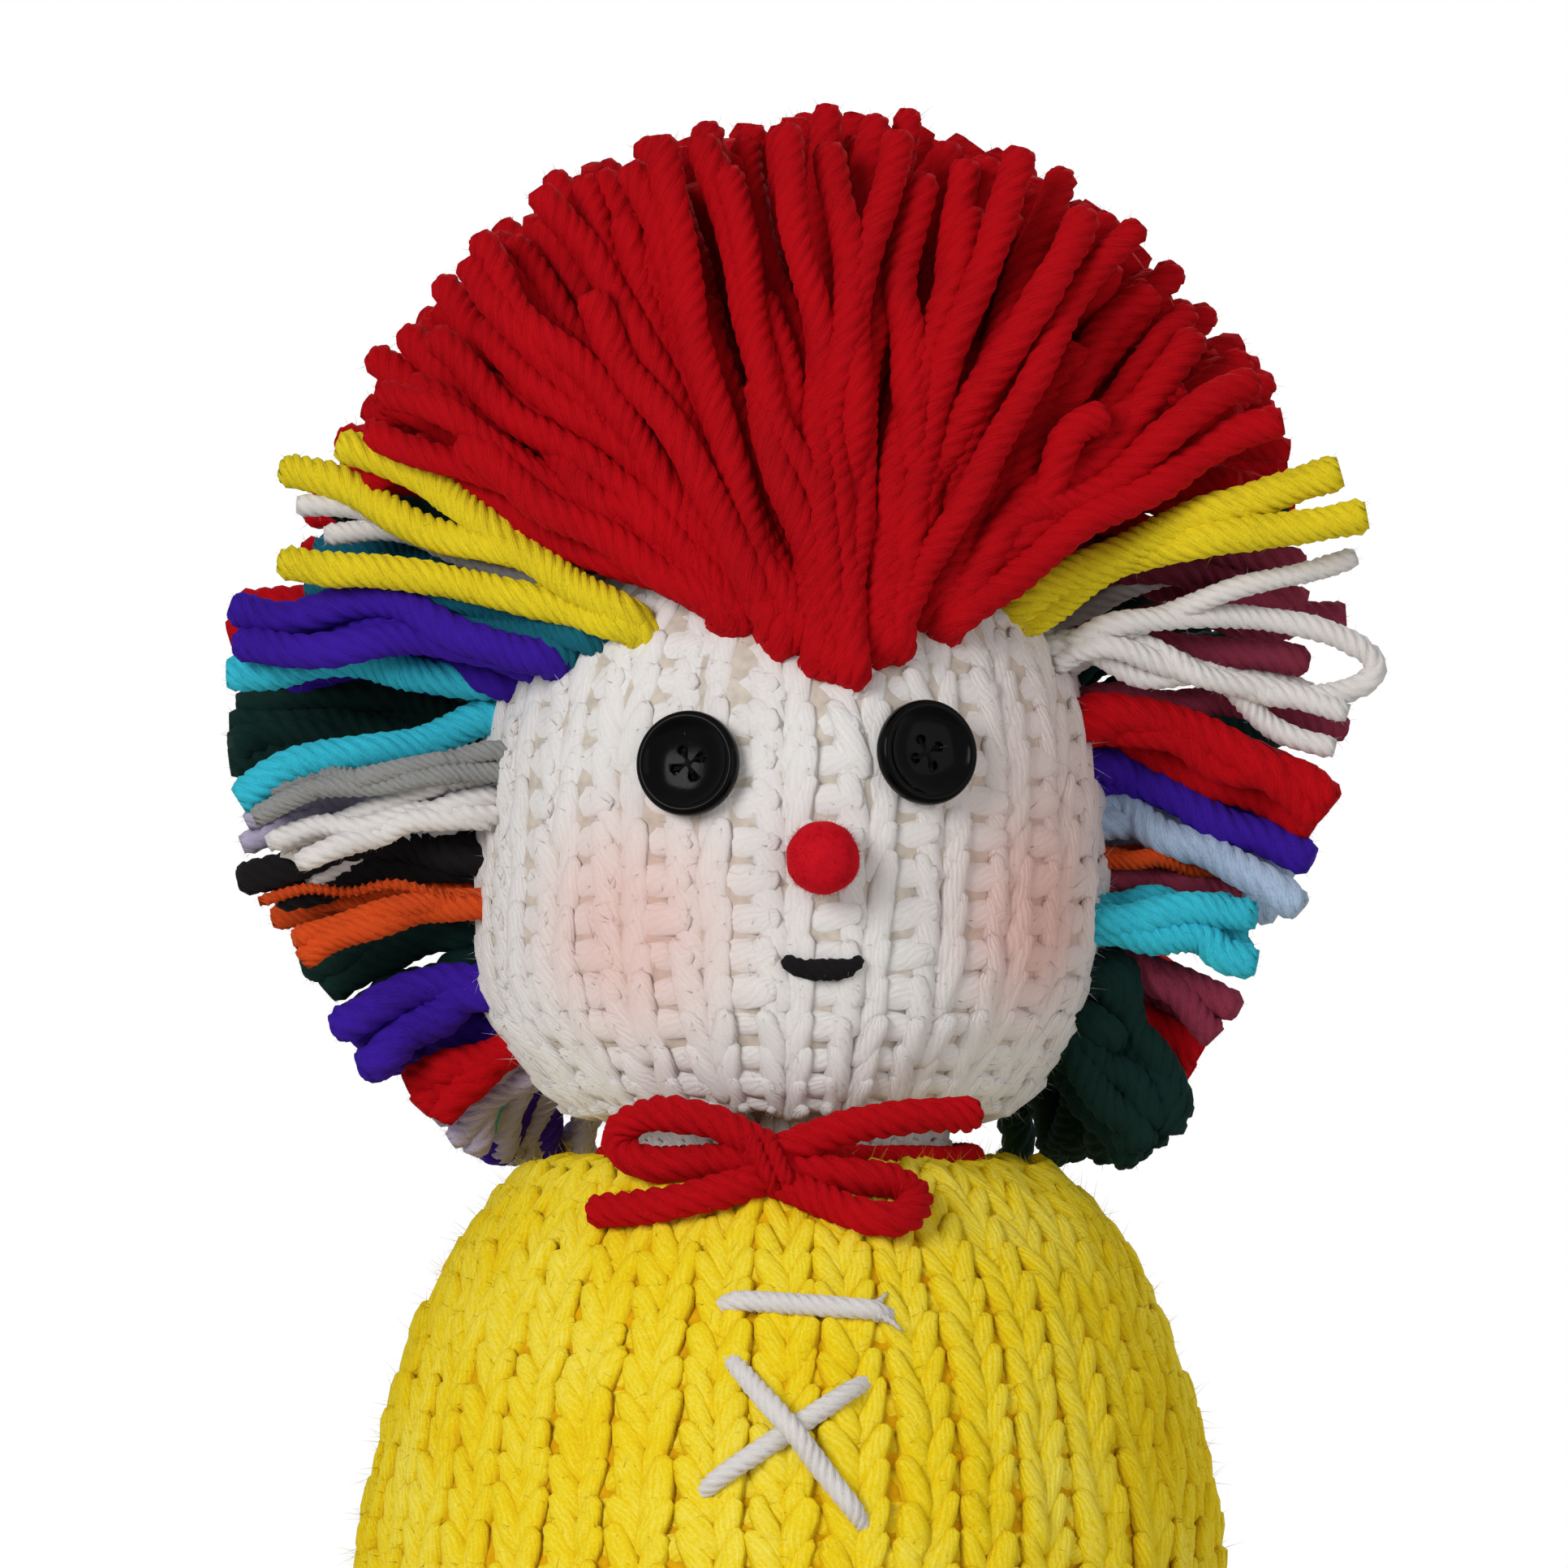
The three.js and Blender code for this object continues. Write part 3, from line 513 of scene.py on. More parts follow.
def addLeg(bm, leg, place):
    copy = leg.copy()
    copy.transform(place)
    bm.from_mesh(copy)
    bpy.data.meshes.remove(copy)


# how far an uneven hand changes a stitch: its slant in degrees, then shares of its thickness and length,
# a bar's turn and thickness; and how wide a stitch may grow, and how it thins where ribs crowd
hand = dict(slant=14.0, thick=0.4, stretch=0.4, barTurn=0.1, barThick=0.5, widest=1.15, thinning=0.6)


# one rib of stitches that point up, with bars across the gap to the next rib
def knitRib(rows, knit, legs, draw):
    bm = bmesh.new()
    uneven = knit["uneven"]
    for radius, height, dr, dz in rows:
        room = 2 * math.pi * radius / knit["ribs"]
        squeeze = max(min(room / knit["pitch"], hand["widest"]), knit["tightest"])
        inward = Vector((0, dz, dr))
        upward = Vector((0, -dr, dz))
        seat = Vector((0, -radius, height)) + inward * knit["sink"]
        basis = Matrix.Identity(4)
        for column, axis in enumerate((Vector((1, 0, 0)), inward, upward, seat)):
            for line in range(3):
                basis[line][column] = axis[line] * mm
        for side in (-1, 1):
            slant = side * math.radians(knit["slant"] + vary(draw, hand["slant"]) * uneven)
            aside = side * (knit["offset"] + vary(draw, 1) * uneven) * squeeze
            thick = knit["thick"] * (1 + vary(draw, hand["thick"]) * uneven)
            place = Matrix.Translation((aside, vary(draw, 1) * uneven, vary(draw, 1) * uneven))
            place = place @ Matrix.Rotation(slant, 4, "Y")
            stretch = 1 + vary(draw, hand["stretch"]) * uneven
            size = (thick * squeeze ** hand["thinning"], thick * knit["flat"], stretch, 1)
            addLeg(bm, draw.choice(legs), basis @ place @ Matrix.Diagonal(size))
        if knit["bar"]:
            place = Matrix.Translation((room / 2, knit["barSink"], knit["row"] * knit["barRise"]))
            place = place @ Matrix.Rotation(math.pi / 2 + vary(draw, hand["barTurn"]), 4, "Y")
            thick = knit["barThick"] * (1 + vary(draw, hand["barThick"]) * uneven)
            size = (thick, thick * knit["barFlat"], room * knit["bar"] / knit["half"], 1)
            addLeg(bm, draw.choice(legs), basis @ place @ Matrix.Diagonal(size))
    return bm


# a point's drift out of true, by the run and reach of each wander
def drift(spot, *wanders):
    total = Vector((0, 0, 0))
    for run, reach in wanders:
        total += noise.noise_vector(spot / (run * mm)) * reach
    return total * mm


# ribs side by side round the upright axis, from the first to the last that is asked for
def knitTube(name, outline, knit, first=0, last=None):
    draw = random.Random(name)
    rows = alongOutline(outline, knit["row"])
    legs = [newLeg(knit, draw) for i in range(looseFibre["variants"])]
    whole = bmesh.new()
    for i in range(first, knit["ribs"] if last is None else last):
        rib = knitRib(rows, knit, legs, draw)
        turn = math.radians(knit["start"]) + 2 * math.pi * i / knit["ribs"]
        bmesh.ops.rotate(rib, verts=rib.verts, matrix=Matrix.Rotation(turn, 3, "Z"))
        mesh = meshOf(rib, "rib")
        whole.from_mesh(mesh)
        bpy.data.meshes.remove(mesh)
    for leg in legs:
        bpy.data.meshes.remove(leg)
    for vert in whole.verts:
        vert.co += drift(vert.co, knit["smallWander"], knit["largeWander"])
        vert.co.z = max(vert.co.z, 0.0)
    return meshOf(whole, name)


# an outline of (radius, height) pairs turned round the upright axis
def turnedForm(outline, steps):
    bm = bmesh.new()
    verts = [bm.verts.new((radius * mm, 0, height * mm)) for radius, height in outline]
    edges = [bm.edges.new(pair) for pair in zip(verts, verts[1:])]
    bmesh.ops.spin(bm, geom=verts + edges, cent=(0, 0, 0), axis=(0, 0, 1), dvec=(0, 0, 0),
                   angle=2 * math.pi, steps=steps, use_merge=True)
    closeSeams(bm, weld)
    return bm


def stuffedForm(name, outline, steps, wander):
    bm = turnedForm(outline, steps)
    for vert in bm.verts:
        vert.co += drift(vert.co, wander)
    return meshOf(bm, name)


headKnit = dict(ribs=23, row=4.8, pitch=10.5, start=-1.6, sink=1.0, half=5.0, thick=1.95, flat=0.66,
                slant=14.0, offset=1.85, tuck=-0.35, tightest=0.3, bar=0.44, barSink=0.7, barThick=2.3,
                barFlat=0.55, barRise=0.4, uneven=0.3, smallWander=(5.0, 0.5), largeWander=(26.0, 0.9))
# first and last rib of each piece, and the loose fibres on each of its stitch legs
headPieces = [(-6, 0, 8), (0, 7, 8), (7, 17, 5)]
# the chin swells over the gathered neck: (radius, height) from the neck out
chinSwell = [(21.3, 117.6), (23.2, 117.2), (25.4, 117.4), (27.6, 118.3), (29.4, 119.7)]
# the filled form within: it starts above the neck, and stays inside the knit
headInside = dict(steps=92, rings=40, firstRing=1.0, crownHole=7.0, inset=0.65, rise=0.6, least=6.0,
                  neckHollow=[(0.0, 123.0), (19.0, 121.5)])


def makeHead():
    outline = list(chinSwell)
    low = chinSwell[-1][1] + headInside["firstRing"]
    high = headForm["cheek"] + headForm["crown"]
    rings = headInside["rings"]
    for i in range(1, rings + 1):
        z = low + (high - low) * math.sin(math.pi / 2 * i / rings)
        outline.append((headRadiusAt(z), z))
    rows = [pair for pair in outline if pair[0] > headInside["crownHole"]]
    for i, (first, last, fibres) in enumerate(headPieces):
        name = f"head_knit_{i + 1}"
        mesh = knitTube(name, rows, dict(headKnit, fibres=fibres), first, last)
        newPiece(name, mesh, faceKnit, "head", ["head_cover"])
    inset = headInside["inset"]
    inner = list(headInside["neckHollow"])
    for radius, z in outline:
        if radius > inset + headInside["least"]:
            inner.append((radius - inset, z + headInside["rise"]))
    inner.append((0.0, outline[-1][1] - inset))
    mesh = stuffedForm("head_form", inner, headInside["steps"], headKnit["largeWander"])
    form = newPiece("head_form", mesh, faceLining, "head", ["head_stuffing"])


bodyStitch = dict(ribs=37, row=4.5, pitch=9.0, start=-1.2, sink=1.2, half=4.6, thick=1.98, flat=0.78,
                  slant=22.0, offset=1.66, tuck=-0.5, tightest=0.4, bar=0.4, barSink=1.0, barThick=2.2,
                  barFlat=0.6, barRise=0.4, uneven=0.35, smallWander=(5.0, 0.6), largeWander=(24.0, 1.2))
# first and last rib of each piece, and the loose fibres on each of its stitch legs
bodyPieces = [(0, 9, 8), (9, 18, 5), (18, 27, 5), (27, 37, 8)]
baseStitch = dict(bodyStitch, ribs=26, row=4.4, sink=1.9, thick=1.4, flat=1.0, bar=0.0, uneven=0.1,
                  smallWander=(5.0, 0.15), largeWander=(24.0, 0.1), fibres=0)
edgeStitch = dict(bodyStitch, ribs=44, row=2.6, sink=0.2, half=4.2, thick=1.6, slant=80.0, offset=0.0,
                  bar=0.0, uneven=0.15, smallWander=(5.0, 0.2), largeWander=(24.0, 0.2), fibres=3)
baseShape = dict(hole=4.0, inset=1.5, edge=(0.4, 3.0))
# the knit's turned-in collar, and the filled form within with a hollow for the neck
bodyInside = dict(steps=111, rings=40, bottom=3.6, shoulderTop=109.5, inset=1.1, floor=3.5,
                  collar=[(29.0, 111.0), (25.0, 111.4), (22.5, 111.0)],
                  neckHollow=[(27.0, 109.6), (23.6, 109.4), (22.8, 99.5), (0.0, 98.0)])


def makeBody():
    low = bodyInside["bottom"]
    high = bodyInside["shoulderTop"]
    rings = bodyInside["rings"]
    heights = [low + (high - low) * i / rings for i in range(rings + 1)]
    outline = [(bodyRadiusAt(z), z) for z in heights]
    rows = outline + bodyInside["collar"]
    for i, (first, last, fibres) in enumerate(bodyPieces):
        name = f"body_knit_{i + 1}"
        mesh = knitTube(name, rows, dict(bodyStitch, fibres=fibres), first, last)
        newPiece(name, mesh, bodyKnit, "torso", ["body_cover"])
    inset = bodyInside["inset"]
    inner = [(0.0, bodyInside["floor"]), (bodyForm["base"] - inset, bodyInside["floor"])]
    inner += [(radius - inset, z) for radius, z in outline[1:]]
    inner += bodyInside["neckHollow"]
    mesh = stuffedForm("body_form", inner, bodyInside["steps"], bodyStitch["largeWander"])
    form = newPiece("body_form", mesh, bodyLining, "torso", ["body_stuffing"])

    base = [(baseShape["hole"], 0.0), (bodyForm["base"] - baseShape["inset"], 0.0)]
    mesh = knitTube("base_knit", base, baseStitch)
    newPiece("base_knit", mesh, bodyKnit, "torso", ["base_panel"])
    edge = [(bodyRadiusAt(z), z) for z in baseShape["edge"]]
    newPiece("base_edge", knitTube("base_edge", edge, edgeStitch), bodyKnit, "torso")


neckKnit = dict(ribs=30, row=4.6, pitch=4.4, start=0.0, sink=1.4, half=3.6, thick=1.3, flat=1.0, slant=10.0,
                offset=1.0, tuck=-0.4, tightest=0.4, bar=0.0, uneven=0.15, smallWander=(5.0, 0.2),
                largeWander=(24.0, 0.3), fibres=4)
neckShape = dict(knit=[(18.6, 104.0), (19.8, 108.0), (20.1, 112.0), (19.8, 116.0), (18.6, 120.0)],
                 wad=[(0.0, 103.0), (13.5, 104.5), (16.2, 108.5), (16.6, 112.0), (16.2, 115.5),
                      (13.5, 119.5), (0.0, 121.0)], steps=30)


def makeNeck():
    mesh = knitTube("neck_knit", neckShape["knit"], neckKnit)
    newPiece("neck_knit", mesh, faceKnit, "neck_outer", ["neck_sleeve"])
    mesh = stuffedForm("neck_wad", neckShape["wad"], neckShape["steps"], neckKnit["largeWander"])
    wad = newPiece("neck_wad", mesh, filling, "neck_inner", ["neck_core"])


makeHead()
makeBody()
makeNeck()
print("knit head, body and neck are made")


# the round of plies that a strand of yarn is drawn with, one mm in radius
def plyProfile(name, plies, groove, sides):
    curve = bpy.data.curves.new(name, "CURVE")
    spline = curve.splines.new("POLY")
    spline.points.add(sides - 1)
    spline.use_cyclic_u = True
    for i, point in enumerate(spline.points):
        angle = -2 * math.pi * i / sides
        reach = (1 - groove * (1 - abs(math.cos(plies * angle / 2)))) * mm
        point.co = (reach * math.cos(angle), reach * math.sin(angle), 0, 1)
    return newObject(name, curve)


softPlies = plyProfile("softPlies", plies=5, groove=0.17, sides=20)
ropePlies = plyProfile("ropePlies", plies=6, groove=0.22, sides=24)
bowPlies = plyProfile("bowPlies", plies=5, groove=0.27, sides=20)
hiddenPlies = plyProfile("hiddenPlies", plies=5, groove=0.17, sides=15)
fibrePly = plyProfile("fibrePly", plies=0, groove=0.0, sides=3)
# a yarn's steps, the run of one turn in widths, its cut tips, and how it swells, slackens and sways
yarnShape = dict(step=1.0, hiddenStep=1.3, turn=2.5, ropeTurn=2.1, tipRound=0.8, tipLeast=0.55,
                 swell=0.1, swellRun=5.0, slack=0.9, slackRun=9.0, slackLane=7.0, swayRun=15.0,
                 swayStart=12.0, swayLane=3.0, seedReach=50.0)
# loose fibres: how close, how long and how they lie along a strand and at its cut end
yarnFuzz = dict(every=0.42, length=(0.5, 1.9), thick=0.025, seat=0.45, stand=(0.1, 0.6), along=0.8,
                stray=0.3, sink=0.1, tips=14, tipSpread=(0.1, 0.45), tipSink=0.3, tipAlong=0.5)


# a curve through all the spots, as its handles are a sixth of the way between their neighbours
def smoothPath(spots, step):
    ends = [2 * spots[0] - spots[1], *spots, 2 * spots[-1] - spots[-2]]
    path = [spots[0].copy()]
    for before, here, there, after in zip(ends, ends[1:], ends[2:], ends[3:]):
        count = max(2, round((there - here).length / step) + 1)
        path += geometry.interpolate_bezier(here, here + (there - before) / 6, there - (after - here) / 6,
                                            there, count)[1:]
    return path


def newCurve(name, profile):
    curve = bpy.data.curves.new(name, "CURVE")
    curve.dimensions = "3D"
    curve.bevel_mode = "OBJECT"
    curve.bevel_object = profile
    curve.use_fill_caps = True
    return curve


def addFibre(curve, root, end, thick):
    spline = curve.splines.new("POLY")
    spline.points.add(1)
    for point, spot, radius in zip(spline.points, (root, end), (thick, 0.0)):
        point.co = (*(spot * mm), 1)
        point.radius = radius


class Yarn:
    # strands of one colour that make up one piece, with the loose fibres that stand off them
    def __init__(self, name, slot, profile, fuzz=1.0):
        self.name = name
        self.slot = slot
        self.fuzz = fuzz
        self.draw = random.Random(name)
        self.turn = yarnShape["ropeTurn" if profile == ropePlies else "turn"]
        self.step = yarnShape["hiddenStep" if profile == hiddenPlies else "step"]
        self.plies = newCurve(name, profile)
        self.fibres = newCurve(name, fibrePly)

    # a strand through the spots, in mm; ends says which of its two ends are cut
    def strand(self, spots, width, ends=(False, True), girth=None, wave=0.0):
        path = smoothPath(spots, self.step)
        runs = [0.0]
        for here, there in zip(path, path[1:]):
            runs.append(runs[-1] + (there - here).length)
        spline = self.plies.splines.new("POLY")
        spline.points.add(len(path) - 1)
        phase = self.draw.uniform(0, 2 * math.pi)
        seed = Vector((self.draw.uniform(0, yarnShape["seedReach"]), 0, 0))
        for i, (point, run) in enumerate(zip(spline.points, runs)):
            size = 1 + yarnShape["swell"] * noise.noise(seed + Vector((run / yarnShape["swellRun"], 0, 0)))
            for cut, left in ((ends[0], run), (ends[1], runs[-1] - run)):
                if cut and left < yarnShape["tipRound"]:
                    blunt = 1 - (1 - left / yarnShape["tipRound"]) ** 2
                    size *= math.sqrt(max(blunt, yarnShape["tipLeast"]))
            if girth:
                size *= girth(run / runs[-1])
            sway = noise.noise_vector(seed + Vector((0, run / yarnShape["swayRun"], yarnShape["swayLane"])))
            path[i] += sway * wave * min(run / yarnShape["swayStart"], 1)
            point.co = (*(path[i] * mm), 1)
            point.radius = width / 2 * size
            point.tilt = phase + 2 * math.pi * run / (self.turn * width)
            slack = noise.noise(seed + Vector((run / yarnShape["slackRun"], yarnShape["slackLane"], 0)))
            point.tilt += yarnShape["slack"] * slack
        self.addFibres(path, width, ends)

    def addFibres(self, path, width, ends):
        draw = self.draw
        for here, there in zip(path, path[1:]):
            ahead = (there - here).normalized()
            count = (there - here).length * self.fuzz / yarnFuzz["every"]
            for i in range(round(count + vary(draw, 0.5))):
                out = ahead.cross(stray(draw, 1)).normalized()
                lie = out * draw.uniform(*yarnFuzz["stand"]) + ahead * vary(draw, yarnFuzz["along"])
                self.addLoose(here + out * width * yarnFuzz["seat"], lie)
        if ends[1]:
            for i in range(yarnFuzz["tips"]):
                out = ahead.cross(stray(draw, 1)).normalized() * draw.uniform(*yarnFuzz["tipSpread"])
                root = path[-1] + out * width - ahead * yarnFuzz["tipSink"]
                self.addLoose(root, ahead * yarnFuzz["tipAlong"] + out)

    def addLoose(self, root, lie):
        reach = (lie + stray(self.draw, yarnFuzz["stray"])) * self.draw.uniform(*yarnFuzz["length"])
        addFibre(self.fibres, root - reach * yarnFuzz["sink"], root + reach, yarnFuzz["thick"])

    def piece(self, body):
        bm = bmesh.new()
        for curve in (self.plies, self.fibres):
            addCurve(bm, self.name, curve)
        closeSeams(bm, fineWeld)
        name = f"{self.name}_yarn"
        return newPiece(name, meshOf(bm, name), finishes[self.slot], body, [self.name])


# hair: a strand leaves its knot along the way the head faces, then bends to its tip
hairShape = dict(width=4.2, widths=(0.92, 1.1), behind=130, sink=1.6, lift=2.4, bend=0.45,
                 bendSpots=(0.3, 0.55, 0.8), arch=2.5, archUp=3.5, archSpan=45.0, wander=1.6, wave=1.9,
                 fullSpan=40.0)


def hairSpots(root, facing, tip, draw):
    span = (tip - root).length
    loose = hairShape["wander"] * min(span / hairShape["fullSpan"], 1.0)
    sideways = abs(tip.x - root.x) / span
    bend = root.lerp(tip, hairShape["bend"]) + facing * hairShape["arch"]
    bend.z += hairShape["archUp"] * sideways * span / hairShape["archSpan"]
    spots = [root - facing * hairShape["sink"], root + facing * hairShape["lift"]]
    for share in hairShape["bendSpots"]:
        spots.append(root.lerp(bend, share).lerp(bend.lerp(tip, share), share) + stray(draw, loose))
    return spots + [tip]


# the red fan: layers of strands for each tuft, each layer's count, reach from the fan's centre, spread
# from the left edge to the right and lean back from the knot
fan = dict(centre=(2.7, 178.5), knotWide=2.2, knotTall=(-0.5, 2.0), lockLean=(2.0, 6.0), lockWidth=1.05)
browKnots = [(-6.5, 177.8), (-0.5, 175.4), (5.0, 172.4), (11.0, 174.8), (18.0, 177.4)]
crownKnots = [(-13.0, 2.0), (0.0, 4.0), (13.0, 2.0)]
frontLayers = [dict(perTuft=4, reach=(57.5, 62.5), spread=(-68, 67), lean=(6.0, 12.0), stray=3.0),
               dict(perTuft=5, reach=(34.0, 56.0), spread=(-63, 62), lean=(8.0, 14.0), stray=4.0),
               dict(perTuft=8, reach=(58.0, 62.5), spread=(-71, 69), lean=(15.0, 24.0), stray=2.0)]
crownLayers = [dict(perTuft=18, reach=(58.5, 62.0), spread=(-76, 73), lean=(-9.0, 4.0), stray=2.4),
               dict(perTuft=20, reach=(58.0, 62.0), spread=(-80, 78), lean=(8.0, 18.0), stray=3.0),
               dict(perTuft=7, reach=(52.0, 58.0), spread=(-72, 70), lean=(-22.0, -10.0), stray=4.0),
               dict(perTuft=13, reach=(46.0, 57.0), spread=(-82, 80), lean=(18.0, 33.0), stray=5.0)]
# shorter locks in front: tuft, then x and height of the tip
shortLocks = [(3, 14.7, 215.5), (2, -3.8, 207.5), (0, -41.3, 199.5), (0, -25.3, 195.5), (1, -25.3, 218.5),
              (4, 38.0, 203.0), (2, 4.0, 211.0)]


def makeFan(name, profile, roots, layers, locks=()):
    across, up = fan["centre"]
    width, wave = hairShape["width"], hairShape["wave"]
    for i, (root, facing) in enumerate(roots):
        yarn = Yarn(f"{name}_{i + 1}", "yarn_red", profile)
        draw = yarn.draw
        for layer in layers:
            least, most = layer["spread"]
            last = layer["perTuft"] * len(roots) - 1
            for k in range(layer["perTuft"] * i, layer["perTuft"] * (i + 1)):
                angle = math.radians(least + (most - least) * k / last + vary(draw, 1) * layer["stray"])
                reach = draw.uniform(*layer["reach"])
                tip = Vector((across + reach * math.sin(angle), root.y + draw.uniform(*layer["lean"]),
                              up + reach * math.cos(angle)))
                base = root + Vector((vary(draw, fan["knotWide"]), 0, draw.uniform(*fan["knotTall"])))
                spots = hairSpots(base, facing, tip, draw)
                yarn.strand(spots, width * draw.uniform(*hairShape["widths"]), wave=wave)
        for tuft, x, z in locks:
            if tuft == i:
                tip = Vector((x, root.y + draw.uniform(*fan["lockLean"]), z))
                yarn.strand(hairSpots(root, facing, tip, draw), width * fan["lockWidth"], wave=wave)
        yarn.piece("head")


def onCrown(x, y):
    power = headForm["crownPower"]
    rise = (1 - (math.hypot(x, y) / headForm["radius"]) ** power) ** (1 / power)
    return standOff(headRadiusAt, x, y, headForm["cheek"] + headForm["crown"] * rise, 0.0)


browRoots = [onFront(headRadiusAt, x, z) for x, z in browKnots]
crownRoots = [onCrown(x, y) for x, y in crownKnots]
makeFan("hair_red_front", softPlies, browRoots, frontLayers, shortLocks)
makeFan("hair_red_crown", hiddenPlies, crownRoots, crownLayers)
print("red fan is made")

# side and back tufts: name, slot, yarn width, turn round the head, height above the cheeks, how many
# more strands fill in behind, then each strand's direction from upright in a front view, length, lean
# back and, where it isn't whole, its share of the width
ropeSlots = ("yarn_cyan", "yarn_orange", "yarn_grey", "yarn_teal", "yarn_yellow")
sideTufts = [
    ("left_yellow", "yarn_yellow", 4.5, -33, 30, 0, [(-60, 41, 12), (-82, 44, 11), (-68, 47, 20)]),
    ("left_teal", "yarn_teal", 3.6, -45, 28, 4, [(-77, 30, 13), (-80, 30, 14)]),
    ("left_purple", "yarn_purple", 4.4, -53, 25, 4, [(-79, 38, 8), (-87, 38, 8), (-83, 34, 13)]),
    ("left_cyan", "yarn_cyan", 4.6, -80, 18, 0, [(-108, 30, -3)]),
    ("left_green", "yarn_green", 4.6, -100, 17, 6, [(-75, 28, 10), (-84, 29, 3), (-88, 30, 1), (-93, 30, 0),
                                                    (-98, 30, 1), (-103, 28, 4)]),
    ("left_grey", "yarn_grey", 2.9, -68, 13.5, 0, [(-104, 29, 2), (-101, 27, 5)]),
    ("left_lilac", "yarn_lilac", 3.2, -90, 9, 3, [(-97, 27, -1), (-101, 27, 0), (-99, 24, 8)]),
    ("left_white", "yarn_white", 3.0, -74, 6, 2, [(-96, 24, 0), (-103, 22, 0)]),
    ("left_black", "yarn_black", 4.4, -86, 2, 6, [(-95, 27, 0), (-101, 23, 1), (-98, 22, 9)]),
    ("left_orange", "yarn_orange", 3.6, -80, -3, 3, [(-90, 25, 3, 0.5), (-104, 21, 0), (-111, 21, 0)]),
    ("left_purple_low", "yarn_purple", 5.2, -88, -14.5, 4, [(-104, 17, 0), (-126, 15, 0), (-112, 15, 5)]),
    ("left_red_low", "yarn_red", 4.8, -96, -20.5, 3, [(-114, 12, 0), (-128, 12, 0), (-142, 11, 0)]),
    ("left_lilac_low", "yarn_lilac", 3.4, -125, -25.5, 4, [(-112, 14, 4), (-135, 12, 1)]),
    ("right_yellow", "yarn_yellow", 4.5, 60, 31, 0, [(65, 41, -1), (75, 43, -2)]),
    ("right_maroon", "yarn_maroon", 4.0, 92, 36, 4, [(80, 34, 12), (90, 34, 1), (97, 36, 1)]),
    ("right_white", "yarn_white", 3.2, 70, 26, 2, [(71, 37, 0, 0.9), (102, 34, 5), (109, 34, 7)]),
    ("right_red", "yarn_red", 4.8, 80, 18.5, 5, [(110, 30, 0), (114, 29, 1), (108, 27, 12)]),
    ("right_purple", "yarn_purple", 4.6, 90, 13, 4, [(117, 26.5, 0), (112, 24, 8)]),
    ("right_blue", "yarn_blue", 4.8, 92, 7.5, 4, [(119, 26, -5), (114, 23, 6)]),
    ("right_orange", "yarn_orange", 2.8, 90, 1.5, 3, [(98, 17, 6), (104, 15, 7)]),
    ("right_cyan", "yarn_cyan", 4.4, 80, -5.5, 4, [(88, 17, 0), (108, 18, 0), (101, 16, 6)]),
    ("right_maroon_low", "yarn_maroon", 4.2, 92, -11, 5, [(110, 16, -1), (127, 15, -1), (120, 14, 8)]),
    ("right_green_low", "yarn_green", 4.6, 84, -21, 6, [(130, 13, 1), (148, 14, 1), (166, 12, 1),
                                                        (136, 14, 8)]),
    ("back_top", "yarn_red", 4.2, 180, 35, 20, [(-78, 45, 12), (-52, 46, 18), (-26, 47, 18), (0, 48, 18),
                                                (26, 47, 18), (52, 46, 18), (78, 45, 12)]),
    ("back_left", "yarn_purple", 4.2, -145, 19, 13, [(-58, 38, 0), (-75, 38, 2), (-92, 38, 2),
                                                     (-106, 36, 3)]),
    ("back_right", "yarn_green", 4.2, 145, 19, 13, [(58, 38, 0), (75, 40, 2), (92, 40, 2), (106, 37, 3)]),
    ("back_middle", "yarn_teal", 4.2, 180, 13, 16, [(-104, 35, 4), (-125, 32, 4), (-150, 32, 4),
                                                    (178, 30, 5), (150, 34, 4), (125, 36, 4),
                                                    (104, 40, 4)]),
    ("back_low_left", "yarn_cyan", 4.2, -150, -7, 9, [(-88, 28, 3), (-120, 28, 4), (-150, 22, 4)]),
    ("back_low_right", "yarn_red", 4.2, 150, -7, 9, [(88, 32, 3), (112, 30, 4), (150, 22, 4)])]
